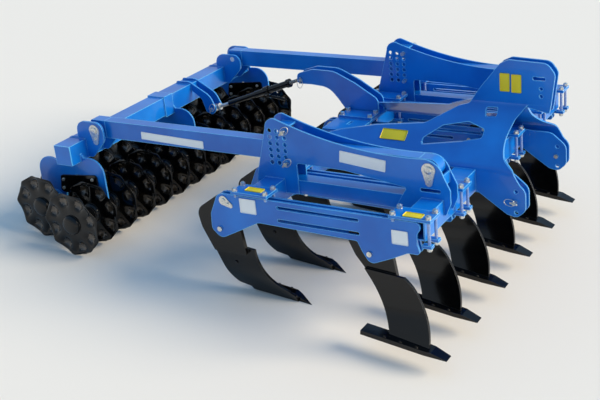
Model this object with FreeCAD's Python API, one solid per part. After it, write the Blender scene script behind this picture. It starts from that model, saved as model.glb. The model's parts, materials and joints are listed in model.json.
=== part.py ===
"""Mounted subsoiler with two rows of bent tines and a tandem disc roller on swinging arms.

The machine is drawn level: +X is the direction of travel, +Y its left side and +Z up, with
X = 0 at the tips of the front points and Z = 0 at their working depth. Parked, it leans back
onto the rear points and the roller, so every piece is turned by PARK_PITCH as it is written
out, and moved so that the origin lies on the floor under the middle of the whole machine.
"""
import FreeCAD, Part
import math
import os

V = FreeCAD.Vector

# ---- driving dimensions, in millimetres and degrees ----
PARK_PITCH = 6.3            # nose-up angle of the parked machine
RUN = 0.05                  # radial running clearance of a pin in its bore
SEAT = 0.3                  # gap round a pin that only sits in its hole

# tine holders
HOLDERS = 6
HOLDER_PITCH = 500
HOLDER_PLATE = 15
ROW_OFFSET = 1140           # front points to rear points
SLOT_REAR = -1224           # long slots between the beams
SLOT_FRONT = -620
SLOT_RADIUS = 11
SLOT_LOW = 708
SLOT_HIGH = 800
TINE_PIN_RADIUS = 15
SHEAR_BOLT_RADIUS = 9
PIVOT_BACK = 500            # tine pivot behind its point
PIVOT_Z = 796
SHEAR_BACK = 558
SHEAR_Z = 578
HOLDER_TAIL = 62            # of the holders' plates, behind the rear shear bolts
HOLDER_FOOT = 504           # lowest points of the plates, under the shear bolts

# cross beams
BEAM = 150
BEAM_WALL = 10
BEAM_BOTTOM = 720
FRONT_BEAM_X = -250
REAR_BEAM_X = -1405

# beam clamps
CLAMP_LENGTH = 280
CLAMP_WIDTH = 140
CLAMP_PLATE = 20
STUD_RADIUS = 10
STUD_SPACING_X = 236
STUD_SPACING_Y = 100
STUD_END = 24               # how far a stud stands out of its plate

# tines
SHANK = 30                  # shank thickness
SHANK_TOP = 822
SHANK_END = 395             # lower end of the straight shank
BLADE = 20                  # thickness of the bent blade
BLADE_TOP = 470
BEND_Z = 390                # where the blade starts to lean sideways
BEND_RADIUS = 500
BEND_ANGLE = 24
POINT_LENGTH = 590
POINT_THICK = 30
POINT_WIDTH = 100
POINT_TIP_WIDTH = 70
SHARE_LENGTH = 455
SHARE_WIDTH = 82
SHARE_CUT = 158             # slanted front edge of the rear shares
SHARE_OUTSET = 50           # the rear shares lie this far outside the blade's foot
POINT_SLOPE = 7.5

# arm carriers
CARRIER_Y = 920             # middle of each pair of plates
CARRIER_GAP = 100
CARRIER_PLATE = 10
CARRIER_BOTTOM = 770
RAIL_WALL = 6               # square tubes between the beams, under the carriers
HOLE_COLUMNS = 3
HOLE_ROWS = 6
HOLE_PITCH_X = 57
HOLE_PITCH_Z = 45
HOLE_X = -1302              # column that holds the depth pins
DEPTH_PIN_RADIUS = 15
DEPTH_PIN_OVERHANG = 26

# roller arms
ARM_Z = 1065
ARM_HEIGHT = 133
ARM_WIDTH = 90
ARM_FRONT_X = -265
ARM_REAR_X = -2940
ARM_WALL = 8
ARM_PIN_RADIUS = 20
KEEPER = 8                  # keeper plates over the ends of the pivot pins
KEEPER_RADIUS = 46
KEEPER_LENGTH = 88

# roller frame
ROLLER_BEAM = 150
ROLLER_BEAM_X = -3120
ROLLER_BEAM_Z = 915
ROLLER_BEAM_HALF = 1200
ROLLER_CAP = 6              # plates that close the beam's ends
COLLAR_WIDTH = 110
COLLAR_THICK = 10
LUG_PLATE = 15
LUG_GAP = 35
LUG_TOP = 65                # above the pivots
LUG_STEP = 25               # the inner lugs are this much lower
HANGERS = 3
HANGER_STEP = 5             # disc pitches from one hanger to the next
HANGER_PLATE = 12
FRONT_LOBE = (135, 872)     # half width and top of the lobes over the front axle
REAR_LOBE = (125, 842)
BEARING_RADIUS = 75
BEARING_WIDTH = 36
END_PLATE = 12              # black plates on the end hangers
FRAME_TILT = 4.0

# rollers
ROLLER_RADIUS = 250
ROLLER_FRONT_X = -2980
ROLLER_SPACING = 390
AXLE_RADIUS = 45
DISC_PITCH = 230
DISCS = (13, 12)            # in the front and the rear row
DISC_SHEET = 8
DISC_WAVE = 15              # sideways set of the pressed rim, one way and the other
DISC_CORNERS = 16
DISC_FLAT_RADIUS = 110
AXLE_OVERHANG = 20

# headstock
SHEET = 12
TOWER_HALF = 40
LINK_HALF = 460             # outer face of the outer link plates
LINK_GAP = 54
UPPER_BEND = 30             # outer radii of the two long bends
LOWER_BEND = 70
CREASE_Z = 1190
DECK_LIFT = 15              # lower crease above the beams
LINK_BORE = 14.2
LINK_PIN_RADIUS = 14
LINK_PIN_OVERHANG = 28
LINK_HOLE_X = 95
LINK_HOLE_Z = 675
LINK_HOLE_PITCH = 74
LINK_HOLE_STEP = 8
TOP_BORE = 13
TOP_SLOT_Z = 1385
TOP_SLOT_LENGTH = 88
TOP_SLOT_BACK = 14          # middle of the slot, behind the holes
TOP_HOLE_X = 131
TOP_HOLE_Z = 1316
TOP_HOLE_PITCH = 52

# adjuster
ADJUSTER_Y = 380
ADJUSTER_GAP = 76
ADJUSTER_PLATE = 12
ADJUSTER_TOP = (-1948, 1107)
ADJUSTER_END = (-2860, 775)
ADJUSTER_PIN_RADIUS = 14
EYE_RADIUS = 32
EYE_WIDTH = 56
BASE_PLATE = 15
BASE_REAR = 150             # from the rear beam's middle to the base plate's edges
BASE_FRONT = 140
BASE_Y = (-60, 560)
BASE_WINDOW = 70
TUBE_RADIUS = 27
SLEEVE_RADIUS = 22
ROD_RADIUS = 14
NECK_LENGTH = 115
NUT_LENGTH = 28
BARREL_LENGTH = 340
SLEEVE_LENGTH = 290
ROD_LENGTH = 420

# ---- values that follow ----
BEAM_TOP = BEAM_BOTTOM + BEAM
HOLDER_HALF = SHANK / 2 + HOLDER_PLATE
HOLDER_TOP = BEAM_TOP - 25
HOLDER_Y = [(i - (HOLDERS - 1) / 2) * HOLDER_PITCH for i in range(HOLDERS)]
BEAM_HALF = HOLDER_Y[-1] + SHANK / 2
PARK = math.radians(PARK_PITCH)
DEPTH_PIN_LOW = ARM_Z - ARM_HEIGHT / 2 - SEAT - DEPTH_PIN_RADIUS
CREASE_LOW = BEAM_TOP + DECK_LIFT
LINK_INNER = LINK_HALF - SHEET - LINK_GAP
FRONT_BEAM_FACE = FRONT_BEAM_X + BEAM / 2
# the hangers stand a quarter of a pitch off the front row's discs, midway to the rear row's
HANGER_Y = [((i - (HANGERS - 1) / 2) * HANGER_STEP + 0.25) * DISC_PITCH for i in range(HANGERS)]
SHEET_REAR = REAR_BEAM_X - BEAM / 2


# ---- helpers: every outline is a list of (x, z) or (x, z, corner radius) ----
def rounded_wire(outline, at):
    """A closed wire through the corners, each rounded by its own radius."""
    count = len(outline)
    corners = [V(*at(p[0], p[1])) for p in outline]
    radii = [p[2] if len(p) > 2 else 0 for p in outline]
    edges = []
    ends = []
    for i in range(count):
        here = corners[i]
        before = (corners[i - 1] - here).normalize()
        after = (corners[(i + 1) % count] - here).normalize()
        half = before.getAngle(after) / 2
        if radii[i] == 0 or half > math.pi / 2 - 0.01:
            ends.append((here, here, None))
            continue
        reach = radii[i] / math.tan(half)
        middle = (before + after).normalize()
        top = here + middle * (radii[i] / math.sin(half) - radii[i])
        ends.append((here + before * reach, here + after * reach, top))
    for i in range(count):
        start, end, top = ends[i]
        if top is not None:
            edges.append(Part.Arc(start, top, end).toShape())
        following = ends[(i + 1) % count][0]
        if end.distanceToPoint(following) > 1e-6:
            edges.append(Part.LineSegment(end, following).toShape())
    return Part.Wire(edges)


def plate(outline, y0, y1):
    """A plate in the XZ plane between two Y values."""
    wire = rounded_wire(outline, lambda x, z: (x, y0, z))
    return Part.Face(wire).extrude(V(0, y1 - y0, 0))


def box(x0, x1, y0, y1, z0, z1):
    return Part.makeBox(x1 - x0, y1 - y0, z1 - z0, V(x0, y0, z0))


def bar(x, z, radius, y0, y1):
    """A round bar along Y."""
    return Part.makeCylinder(radius, y1 - y0, V(x, y0, z), V(0, 1, 0))


def post(x, y, radius, z0, z1):
    """A round bar along Z."""
    return Part.makeCylinder(radius, z1 - z0, V(x, y, z0), V(0, 0, 1))


def slot(x0, x1, z, radius, y0, y1):
    """A long hole along X, from end to end x0 to x1."""
    low = bar(x0 + radius, z, radius, y0, y1)
    high = bar(x1 - radius, z, radius, y0, y1)
    middle = box(x0 + radius, x1 - radius, y0, y1, z - radius, z + radius)
    return middle.fuse([low, high]).removeSplitter()


def mirror_y(shape):
    return shape.mirror(V(0, 0, 0), V(0, 1, 0))


def teardrop(x, z, radius, length, angle, y0, y1):
    """A keeper plate: a round head that narrows to a small end, turned about the head."""
    small = radius * 0.5
    head = bar(x, z, radius, y0, y1)
    tail = bar(x, z - length, small, y0, y1)
    neck = plate([(x - radius, z), (x + radius, z), (x + small, z - length),
                  (x - small, z - length)], y0, y1)
    keeper = head.fuse([tail, neck]).removeSplitter()
    keeper.rotate(V(x, 0, z), V(0, 1, 0), angle)
    return keeper


# ---- frame ----
def cross_beam(x):
    """A square tube whose open ends are closed by the end holders' outer plates."""
    half = BEAM / 2
    hollow = half - BEAM_WALL
    centre = BEAM_BOTTOM + half
    tube = box(x - half, x + half, -BEAM_HALF, BEAM_HALF, centre - half, centre + half)
    return tube.cut(box(x - hollow, x + hollow, -BEAM_HALF, BEAM_HALF, centre - hollow,
                        centre + hollow))


def holder_outline():
    """A foot at each row's shear bolt and a short nose at the front beam."""
    rear = -ROW_OFFSET - SHEAR_BACK
    tail = rear - HOLDER_TAIL
    front = -SHEAR_BACK
    return [(tail + 75, HOLDER_TOP, 70), (tail, PIVOT_Z - 111, 60), (tail - 8, SHEAR_Z - 8, 50),
            (rear, HOLDER_FOOT, 60), (rear + 188, 600, 60), (rear + 318, 668, 80),
            (front - 82, 655, 20), (front - 54, 590, 30), (front, HOLDER_FOOT, 50), (-388, 578, 60),
            (-290, 627, 40), (-205, 627, 20), (-225, 700, 30), (-222, 765, 20),
            (-200, 800, 20), (-200, HOLDER_TOP, 30)]


def holder_plate(y0, y1, notched):
    """One side plate; an inner plate is notched for both beams, an end plate covers them.

    The front pivots stop behind the end plates, which have no hole for them.
    """
    side = plate(holder_outline(), y0, y1)
    cuts = [slot(SLOT_REAR, SLOT_FRONT, z, SLOT_RADIUS, y0 - 1, y1 + 1)
            for z in (SLOT_LOW, SLOT_HIGH)]
    for row in (0, -ROW_OFFSET):
        if notched or row != 0:
            cuts.append(bar(row - PIVOT_BACK, PIVOT_Z, TINE_PIN_RADIUS + SEAT, y0 - 1, y1 + 1))
        cuts.append(bar(row - SHEAR_BACK, SHEAR_Z, SHEAR_BOLT_RADIUS + SEAT, y0 - 1, y1 + 1))
    if notched:
        for x in (FRONT_BEAM_X, REAR_BEAM_X):
            cuts.append(box(x - BEAM / 2, x + BEAM / 2, y0 - 1, y1 + 1, BEAM_BOTTOM,
                            BEAM_TOP + 1))
    return side.cut(cuts)


def holder(y):
    right_end = y == HOLDER_Y[0]
    left_end = y == HOLDER_Y[-1]
    right = holder_plate(y - HOLDER_HALF, y - SHANK / 2, not right_end)
    left = holder_plate(y + SHANK / 2, y + HOLDER_HALF, not left_end)
    return Part.makeCompound([right, left])


def stud_low(x, y, sx, sy):
    """Lower end of a stud; the ones outside an end plate are short, save at the very front."""
    outside = abs(y + sy * HOLDER_HALF) > BEAM_HALF
    if outside and not (x == FRONT_BEAM_X and sx > 0):
        return HOLDER_TOP
    return BEAM_BOTTOM - CLAMP_PLATE - STUD_END


def clamp(x, y, seat):
    """A clamp over a beam: top plate, four studs, and a foot under each pair of long studs."""
    end = CLAMP_LENGTH / 2
    top = box(x - end, x + end, y - CLAMP_WIDTH / 2, y + CLAMP_WIDTH / 2, seat,
              seat + CLAMP_PLATE)
    parts = []
    for sy in (-1, 1):
        lows = {}
        for sx in (-1, 1):
            lows[sx] = stud_low(x, y, sx, sy)
            parts.append(post(x + sx * STUD_SPACING_X / 2, y + sy * STUD_SPACING_Y / 2,
                              STUD_RADIUS, lows[sx], seat + CLAMP_PLATE + STUD_END))
        if lows[1] > BEAM_BOTTOM:
            continue
        foot_rear = x - end if lows[-1] < BEAM_BOTTOM else x + BEAM / 2
        inner = y + sy * HOLDER_HALF
        outer = y + sy * CLAMP_WIDTH / 2
        parts.append(box(foot_rear, x + end, min(inner, outer), max(inner, outer),
                         BEAM_BOTTOM - CLAMP_PLATE, BEAM_BOTTOM))
    return top.fuse(parts).removeSplitter()


def clamp_seat(x, y):
    """The clamp next to the adjuster bracket sits on the bracket's base plate."""
    covered = BASE_Y[0] < y < BASE_Y[1] and x == REAR_BEAM_X
    return BEAM_TOP + (BASE_PLATE if covered else 0)


def clamp_row(x):
    return Part.makeCompound([clamp(x, y, clamp_seat(x, y)) for y in HOLDER_Y])


# ---- tines ----
SHANK_FRONT = [(-560, SHANK_TOP, 110), (-425, SHANK_TOP, 30), (-415, 640, 0), (-400, 545, 60),
               (-378, SHANK_END, 10)]
FRONT_SHANK_BACK = [(-552, SHANK_END, 20), (-668, 545, 60), (-735, 690, 90)]
REAR_SHANK_BACK = [(-640, SHANK_END, 20), (-722, 560, 60), (-750, 690, 90)]
FRONT_BACK_EDGE = [(-602, BLADE_TOP), (-564, 409), (-505, 305), (-450, 200), (-415, 110)]
FRONT_NOSE_EDGE = [(-130, 60), (-165, 200), (-215, 300), (-262, 380), (-325, BLADE_TOP - 22)]
REAR_BACK_EDGE = [(-686, BLADE_TOP), (-668, 423), (-623, 295), (-592, 184), (-541, 110)]
REAR_NOSE_EDGE = [(-105, 60), (-141, 93), (-214, 150), (-271, 230), (-311, 331),
                  (-331, BLADE_TOP - 42)]
FRONT_FOOT = [(-390, 0), (-122, 0)]
REAR_FOOT = [(-456, 87), (-425, 0), (-97, 0)]


def curved_edge(points):
    """A smooth edge through (x, z) points, in the XZ plane at Y = 0."""
    curve = Part.BSplineCurve()
    curve.interpolate([V(x, 0, z) for x, z in points])
    return curve.toShape()


def side_outline(back, nose, foot):
    """A face bounded by a back edge going down, the foot's corners and a nose edge going up."""
    chain = [V(x, 0, z) for x, z in [back[-1]] + foot + [nose[0]]]
    lines = list(zip(chain, chain[1:]))
    lines.append((V(nose[-1][0], 0, nose[-1][1]), V(back[0][0], 0, back[0][1])))
    edges = [Part.LineSegment(*line).toShape() for line in lines]
    return Part.Face(Part.Wire([curved_edge(back)] + edges[:-1] + [curved_edge(nose), edges[-1]]))


def bent_strip(x0, x1, bottom):
    """The blade's bent section in the YZ plane, leaning to +Y, as long as the blade is wide."""
    angle = math.radians(BEND_ANGLE)
    inner = SHANK / 2
    outer = inner + BLADE
    centre = V(x0, inner + BEND_RADIUS, BEND_Z)

    def on_arc(radius, turn):
        return V(x0, centre.y - radius * math.cos(turn), centre.z - radius * math.sin(turn))

    def run_down(start):
        drop = start.z - bottom
        return V(x0, start.y + drop * math.tan(angle), bottom)

    near = BEND_RADIUS - BLADE
    wire = [Part.LineSegment(V(x0, outer, BLADE_TOP), V(x0, outer, BEND_Z)).toShape(),
            Part.Arc(on_arc(near, 0), on_arc(near, angle / 2), on_arc(near, angle)).toShape(),
            Part.LineSegment(on_arc(near, angle), run_down(on_arc(near, angle))).toShape(),
            Part.LineSegment(run_down(on_arc(near, angle)),
                             run_down(on_arc(BEND_RADIUS, angle))).toShape(),
            Part.LineSegment(run_down(on_arc(BEND_RADIUS, angle)),
                             on_arc(BEND_RADIUS, angle)).toShape(),
            Part.Arc(on_arc(BEND_RADIUS, angle), on_arc(BEND_RADIUS, angle / 2),
                     on_arc(BEND_RADIUS, 0)).toShape(),
            Part.LineSegment(V(x0, inner, BEND_Z), V(x0, inner, BLADE_TOP)).toShape(),
            Part.LineSegment(V(x0, inner, BLADE_TOP), V(x0, outer, BLADE_TOP)).toShape()]
    return Part.Face(Part.Wire(wire)).extrude(V(x1 - x0, 0, 0))


def foot_offset():
    """How far sideways the middle of the blade stands at its foot."""
    angle = math.radians(BEND_ANGLE)
    drop = BEND_Z - BEND_RADIUS * math.sin(angle) - POINT_THICK
    return (SHANK + BLADE) / 2 + BEND_RADIUS * (1 - math.cos(angle)) + drop * math.tan(angle)


def point(length, half_rear, half_tip, cut_back):
    """A flat point with its tip at the origin, ground to an edge underneath."""
    outline = [V(-length, -half_rear, 0), V(-150, -half_rear, 0), V(0, -half_tip, 0),
               V(-cut_back, half_tip, 0), V(-150 - cut_back, half_rear, 0),
               V(-length, half_rear, 0)]
    flat = Part.Face(Part.makePolygon(outline + outline[:1])).extrude(V(0, 0, POINT_THICK))
    bevel = plate([(-110, POINT_THICK + 1), (40, POINT_THICK + 1), (40, 3), (0, 3)],
                  -POINT_WIDTH * 2, POINT_WIDTH * 2)
    flat = flat.cut(bevel)
    flat.rotate(V(0, 0, 0), V(0, 1, 0), POINT_SLOPE)
    flat.translate(V(0, foot_offset(), 0))
    return flat


def front_point():
    return point(POINT_LENGTH, POINT_WIDTH / 2, POINT_TIP_WIDTH / 2, 0)


def rear_point():
    share = point(SHARE_LENGTH, SHARE_WIDTH / 2, SHARE_WIDTH / 2, SHARE_CUT)
    share.translate(V(0, SHARE_OUTSET, 0))
    return share


def tine(back, nose, foot, shank_back, tip):
    """A tine that leans to +Y and stands on its point, whose tip is at x = 0."""
    shank = plate(SHANK_FRONT + shank_back, -SHANK / 2, SHANK / 2)
    side = side_outline(back, nose, foot).extrude(V(0, 600, 0))
    blade = side.common(bent_strip(-900, 100, 0))
    holes = [bar(-PIVOT_BACK, PIVOT_Z, TINE_PIN_RADIUS + SEAT, -SHANK, SHANK),
             bar(-SHEAR_BACK, SHEAR_Z, SHEAR_BOLT_RADIUS + SEAT, -SHANK, SHANK)]
    body = shank.fuse(blade).removeSplitter().cut(holes)
    below = box(-POINT_LENGTH * 2, 100, -500, 600, -500, 0)
    below.rotate(V(0, 0, 0), V(0, 1, 0), POINT_SLOPE)
    return body.cut([tip, below])


def placed(shape, x, y, lean):
    """A tine or a point moved to its place; lean is the side it leans to."""
    copy = shape if lean > 0 else mirror_y(shape)
    copy = copy.copy()
    copy.translate(V(x, y, 0))
    return copy


def pin_rows():
    """Pivot pins and shear bolts of both rows; the rear pivots have keeper plates outside."""
    pivots = []
    bolts = []
    half = HOLDER_HALF
    for row in (0, -ROW_OFFSET):
        for y in HOLDER_Y:
            right = SHANK / 2 if row == 0 and y == HOLDER_Y[0] else half + 1
            left = SHANK / 2 if row == 0 and y == HOLDER_Y[-1] else half + 1
            pivot = bar(row - PIVOT_BACK, PIVOT_Z, TINE_PIN_RADIUS, y - right, y + left)
            if row != 0:
                keeper = teardrop(row - PIVOT_BACK, PIVOT_Z, 34, 62, -60, y - half - 7,
                                  y - half)
                pivot = pivot.fuse(keeper)
            pivots.append(pivot)
            bolt = bar(row - SHEAR_BACK, SHEAR_Z, SHEAR_BOLT_RADIUS, y - half - 12, y + half + 12)
            heads = [bar(row - SHEAR_BACK, SHEAR_Z, 2 * SHEAR_BOLT_RADIUS, y - half - 12, y - half),
                     bar(row - SHEAR_BACK, SHEAR_Z, 2 * SHEAR_BOLT_RADIUS, y + half, y + half + 12)]
            bolts.append(bolt.fuse(heads).removeSplitter())
    return Part.makeCompound(pivots), Part.makeCompound(bolts)


# ---- arm carriers ----
def carrier_wire(y0):
    """The carrier plate's outline, without its window; its long top edge is hollow."""
    def at(x, z):
        return V(x, y0, z)

    head = Part.Arc(at(-1448, 1225), at(-1424, 1278), at(-1370, 1296)).toShape()
    top = Part.Arc(at(-1370, 1296), at(-960, 1180), at(-290, 1132)).toShape()
    nose = Part.Arc(at(-290, 1132), at(-215, 1103), at(-172, 1035)).toShape()
    chain = [at(-172, 1035), at(-126, 940), at(-126, 850), at(-160, CARRIER_BOTTOM),
             at(-1560, CARRIER_BOTTOM), at(-1545, 885), at(-1508, 1015), at(-1448, 1225)]
    lines = [Part.LineSegment(a, b).toShape() for a, b in zip(chain, chain[1:])]
    return Part.Wire([head, top, nose] + lines)


def pin_heights():
    return [DEPTH_PIN_LOW + i * HOLE_PITCH_Z for i in range(HOLE_ROWS)]


def carrier_plate(y0, y1):
    side = Part.Face(carrier_wire(y0)).extrude(V(0, y1 - y0, 0))
    cuts = []
    for x in (FRONT_BEAM_X, REAR_BEAM_X):
        cuts.append(box(x - BEAM / 2, x + BEAM / 2, y0 - 1, y1 + 1, CARRIER_BOTTOM - 1, BEAM_TOP))
    window = plate([(-1225, CARRIER_BOTTOM - 1, 0), (-1225, 996, 20), (-860, 988, 0),
                    (-424, 925, 10), (-515, CARRIER_BOTTOM - 1, 0)], y0 - 1, y1 + 1)
    cuts.append(window)
    cuts.append(slot(-330, -190, 925, 12, y0 - 1, y1 + 1))
    cuts.append(bar(ARM_FRONT_X, ARM_Z, ARM_PIN_RADIUS + SEAT, y0 - 1, y1 + 1))
    for column in range(HOLE_COLUMNS):
        for z in pin_heights():
            x = HOLE_X - column * HOLE_PITCH_X
            cuts.append(bar(x, z, DEPTH_PIN_RADIUS + SEAT, y0 - 1, y1 + 1))
    return side.cut(cuts)


def arm_carrier():
    """The right-hand carrier: two plates with a spacer at each end."""
    inner = CARRIER_Y - CARRIER_GAP / 2
    outer = CARRIER_Y + CARRIER_GAP / 2
    plates = [carrier_plate(-inner, -inner + CARRIER_PLATE),
              carrier_plate(-outer - CARRIER_PLATE, -outer)]
    rear = box(-1370, -1270, -outer, -inner, 1238, 1248)
    front = box(-186, -174, -outer, -inner, 955, 1030)
    return plates[0].fuse([plates[1], rear, front]).removeSplitter()


def side_rails():
    """Square tubes that join the beams between the carriers' plates."""
    rear = REAR_BEAM_X + BEAM / 2
    front = FRONT_BEAM_X - BEAM / 2
    low = BEAM_TOP - CARRIER_GAP
    rails = []
    for side in (-1, 1):
        y0 = side * CARRIER_Y - CARRIER_GAP / 2
        y1 = side * CARRIER_Y + CARRIER_GAP / 2
        tube = box(rear, front, y0, y1, low, BEAM_TOP)
        rails.append(tube.cut(box(rear, front, y0 + RAIL_WALL, y1 - RAIL_WALL, low + RAIL_WALL,
                                  BEAM_TOP - RAIL_WALL)))
    return Part.makeCompound(rails)


def depth_pins():
    reach = CARRIER_GAP / 2 + CARRIER_PLATE + DEPTH_PIN_OVERHANG
    pins = []
    for side in (-1, 1):
        for z in (pin_heights()[0], pin_heights()[-1]):
            y = side * CARRIER_Y
            pins.append(bar(HOLE_X, z, DEPTH_PIN_RADIUS, y - reach, y + reach))
    return Part.makeCompound(pins)


def keeper(x, z, side, reach):
    """A keeper plate over a pivot pin's outer end; side is -1 right, 1 left."""
    face = side * (CARRIER_Y + reach)
    outside = face + side * KEEPER
    return teardrop(x, z, KEEPER_RADIUS, KEEPER_LENGTH, 0, min(face, outside), max(face, outside))


def pivot_pins(x, reach):
    return [bar(x, ARM_Z, ARM_PIN_RADIUS, side * CARRIER_Y - reach, side * CARRIER_Y + reach)
            for side in (-1, 1)]


def kept_pins(x, reach):
    """A pair of pivot pins, each with a keeper plate on its outer end."""
    return Part.makeCompound([pin.fuse(keeper(x, ARM_Z, side, reach))
                              for side, pin in zip((-1, 1), pivot_pins(x, reach))])


def front_pins():
    """The arms' front pivot pins, each fixed by a keeper plate on the carrier's outer face."""
    return kept_pins(ARM_FRONT_X, CARRIER_GAP / 2 + CARRIER_PLATE)


def lug_reach():
    return ARM_WIDTH / 2 + LUG_GAP + LUG_PLATE


def rear_pins():
    """The arms' rear pivot pins, each fixed by a keeper plate on the outer lug."""
    return kept_pins(ARM_REAR_X, lug_reach())


# ---- roller arms ----
def roller_arm(side):
    """A rectangular tube between the two eyes."""
    y = side * CARRIER_Y
    half = ARM_HEIGHT / 2
    wide = ARM_WIDTH / 2
    rear = ARM_REAR_X + half
    front = ARM_FRONT_X - half
    tube = box(rear, front, y - wide, y + wide, ARM_Z - half, ARM_Z + half)
    wide -= ARM_WALL
    half -= ARM_WALL
    return tube.cut(box(rear, front, y - wide, y + wide, ARM_Z - half, ARM_Z + half))


def arm_eye(x, side, facing):
    """The end of an arm with its bore; the rear one, facing 1, is square, the front one round."""
    y = side * CARRIER_Y
    half = ARM_HEIGHT / 2
    wide = ARM_WIDTH / 2
    joint = x + facing * half
    block = box(min(x, joint), max(x, joint), y - wide, y + wide, ARM_Z - half, ARM_Z + half)
    corner = 15 if facing > 0 else half - 1
    head = plate([(x - facing * half, ARM_Z - half, corner), (x - facing * half, ARM_Z + half, corner),
                  (x, ARM_Z + half, 0), (x, ARM_Z - half, 0)], y - wide, y + wide)
    end = head.fuse(block).removeSplitter()
    return end.cut(bar(x, ARM_Z, ARM_PIN_RADIUS + RUN, y - ARM_WIDTH, y + ARM_WIDTH))


def arm_eyes():
    return Part.makeCompound([arm_eye(x, side, facing) for side in (-1, 1)
                              for x, facing in ((ARM_REAR_X, 1), (ARM_FRONT_X, -1))])


# ---- roller frame ----
def ground_z(x):
    """Height of the floor in the level machine's frame, when it is parked."""
    return -math.tan(PARK) * (x + ROW_OFFSET)


def axle(row):
    """Centre of a roller: row 0 is the front one, row 1 the rear one."""
    x = ROLLER_FRONT_X - row * ROLLER_SPACING
    return x, ground_z(x) + ROLLER_RADIUS / math.cos(PARK)


def square_bar(half, y0, y1):
    """A square bar on the roller beam's axis."""
    return box(ROLLER_BEAM_X - half, ROLLER_BEAM_X + half, y0, y1, ROLLER_BEAM_Z - half,
               ROLLER_BEAM_Z + half)


def roller_beam():
    """A square tube with a collar round its middle."""
    half = ROLLER_BEAM / 2
    end = ROLLER_BEAM_HALF - ROLLER_CAP
    beam = square_bar(half, -end, end)
    collar = square_bar(half + COLLAR_THICK, -COLLAR_WIDTH / 2, COLLAR_WIDTH / 2)
    return beam.fuse(collar).removeSplitter().cut(square_bar(half - BEAM_WALL, -end, end))


def roller_caps():
    half = ROLLER_BEAM / 2
    end = ROLLER_BEAM_HALF
    return Part.makeCompound([square_bar(half, -end, ROLLER_CAP - end),
                              square_bar(half, end - ROLLER_CAP, end)])


def pivot_lug(top, y0, y1):
    """A rounded plate from the roller beam up to the arm's rear pivot."""
    half = ROLLER_BEAM / 2
    front = ARM_REAR_X + 80
    rear = ARM_REAR_X - 175
    beam_front = ROLLER_BEAM_X + half
    beam_low = ROLLER_BEAM_Z - half
    body = plate([(rear + 30, ROLLER_BEAM_Z, 0), (rear, ARM_Z - 60, 40), (rear + 8, top, 80),
                  (front, top, 70), (front, ARM_Z - 80, 60), (beam_front + 50, beam_low + 10, 30),
                  (beam_front - 20, beam_low + 10, 0)], y0, y1)
    bore = bar(ARM_REAR_X, ARM_Z, ARM_PIN_RADIUS + RUN, y0 - 1, y1 + 1)
    return body.cut([bore, square_bar(half, y0 - 1, y1 + 1)])


def pivot_lugs():
    """A lug on each side of each arm; the inner ones are lower."""
    lugs = []
    for side in (-1, 1):
        inner = side * CARRIER_Y - side * (ARM_WIDTH / 2 + LUG_GAP)
        outer = side * CARRIER_Y + side * (ARM_WIDTH / 2 + LUG_GAP)
        lugs.append(pivot_lug(ARM_Z + LUG_TOP, min(outer, outer + side * LUG_PLATE),
                              max(outer, outer + side * LUG_PLATE)))
        lugs.append(pivot_lug(ARM_Z + LUG_TOP - LUG_STEP, min(inner, inner - side * LUG_PLATE),
                              max(inner, inner - side * LUG_PLATE)))
    return Part.makeCompound(lugs)


def lobe(row, size, y):
    """A round-topped lobe over an axle that narrows down to it; size is its half width and top."""
    x, z = axle(row)
    half, top = size
    foot = 85
    return plate([(x - foot, z - 60, 50), (x - half, z + 110, 60), (x - half, top, 120),
                  (x + half, top, 120), (x + half, z + 110, 60), (x + foot, z - 60, 50)],
                 y - HANGER_PLATE / 2, y + HANGER_PLATE / 2)


def hanger(y):
    """A hanger plate: a round-topped lobe over each axle and a web up to the beam."""
    y0 = y - HANGER_PLATE / 2
    y1 = y + HANGER_PLATE / 2
    half = ROLLER_BEAM / 2
    front_x = axle(0)[0]
    rear_x = axle(1)[0]
    beam_low = ROLLER_BEAM_Z - half
    web = plate([(rear_x + 60, 640, 0), (rear_x + 100, 820, 0),
                 (ROLLER_BEAM_X - half, beam_low + 60, 0), (ROLLER_BEAM_X + half, beam_low + 60, 0),
                 (front_x, 820, 0), (front_x, 640, 0), (ROLLER_BEAM_X + 40, 745, 40)], y0, y1)
    rings = [bar(x, z, BEARING_RADIUS, y - BEARING_WIDTH / 2, y + BEARING_WIDTH / 2)
             for x, z in (axle(0), axle(1))]
    cuts = [bar(x, z, AXLE_RADIUS + RUN, y - BEARING_WIDTH, y + BEARING_WIDTH)
            for x, z in (axle(0), axle(1))]
    cuts.append(square_bar(half, y - BEARING_WIDTH, y + BEARING_WIDTH))
    cuts.append(square_bar(half + COLLAR_THICK, -COLLAR_WIDTH / 2, COLLAR_WIDTH / 2))
    lobes = [lobe(0, FRONT_LOBE, y), lobe(1, REAR_LOBE, y)]
    return lobes[0].fuse([lobes[1], web] + rings).removeSplitter().cut(cuts)


def end_plates():
    """A black plate across the lobes of each end hanger, on the side of its nearer disc."""
    middle = (axle(0)[0] + axle(1)[0]) / 2
    outline = [(middle - 125, 570, 25), (middle - 100, 708, 25), (middle + 260, 745, 25),
               (middle + 260, 660, 25), (middle + 180, 570, 40)]
    faces = [y - HANGER_PLATE / 2 for y in (HANGER_Y[0], HANGER_Y[-1])]
    return Part.makeCompound([plate(outline, face - END_PLATE, face) for face in faces])


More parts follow.
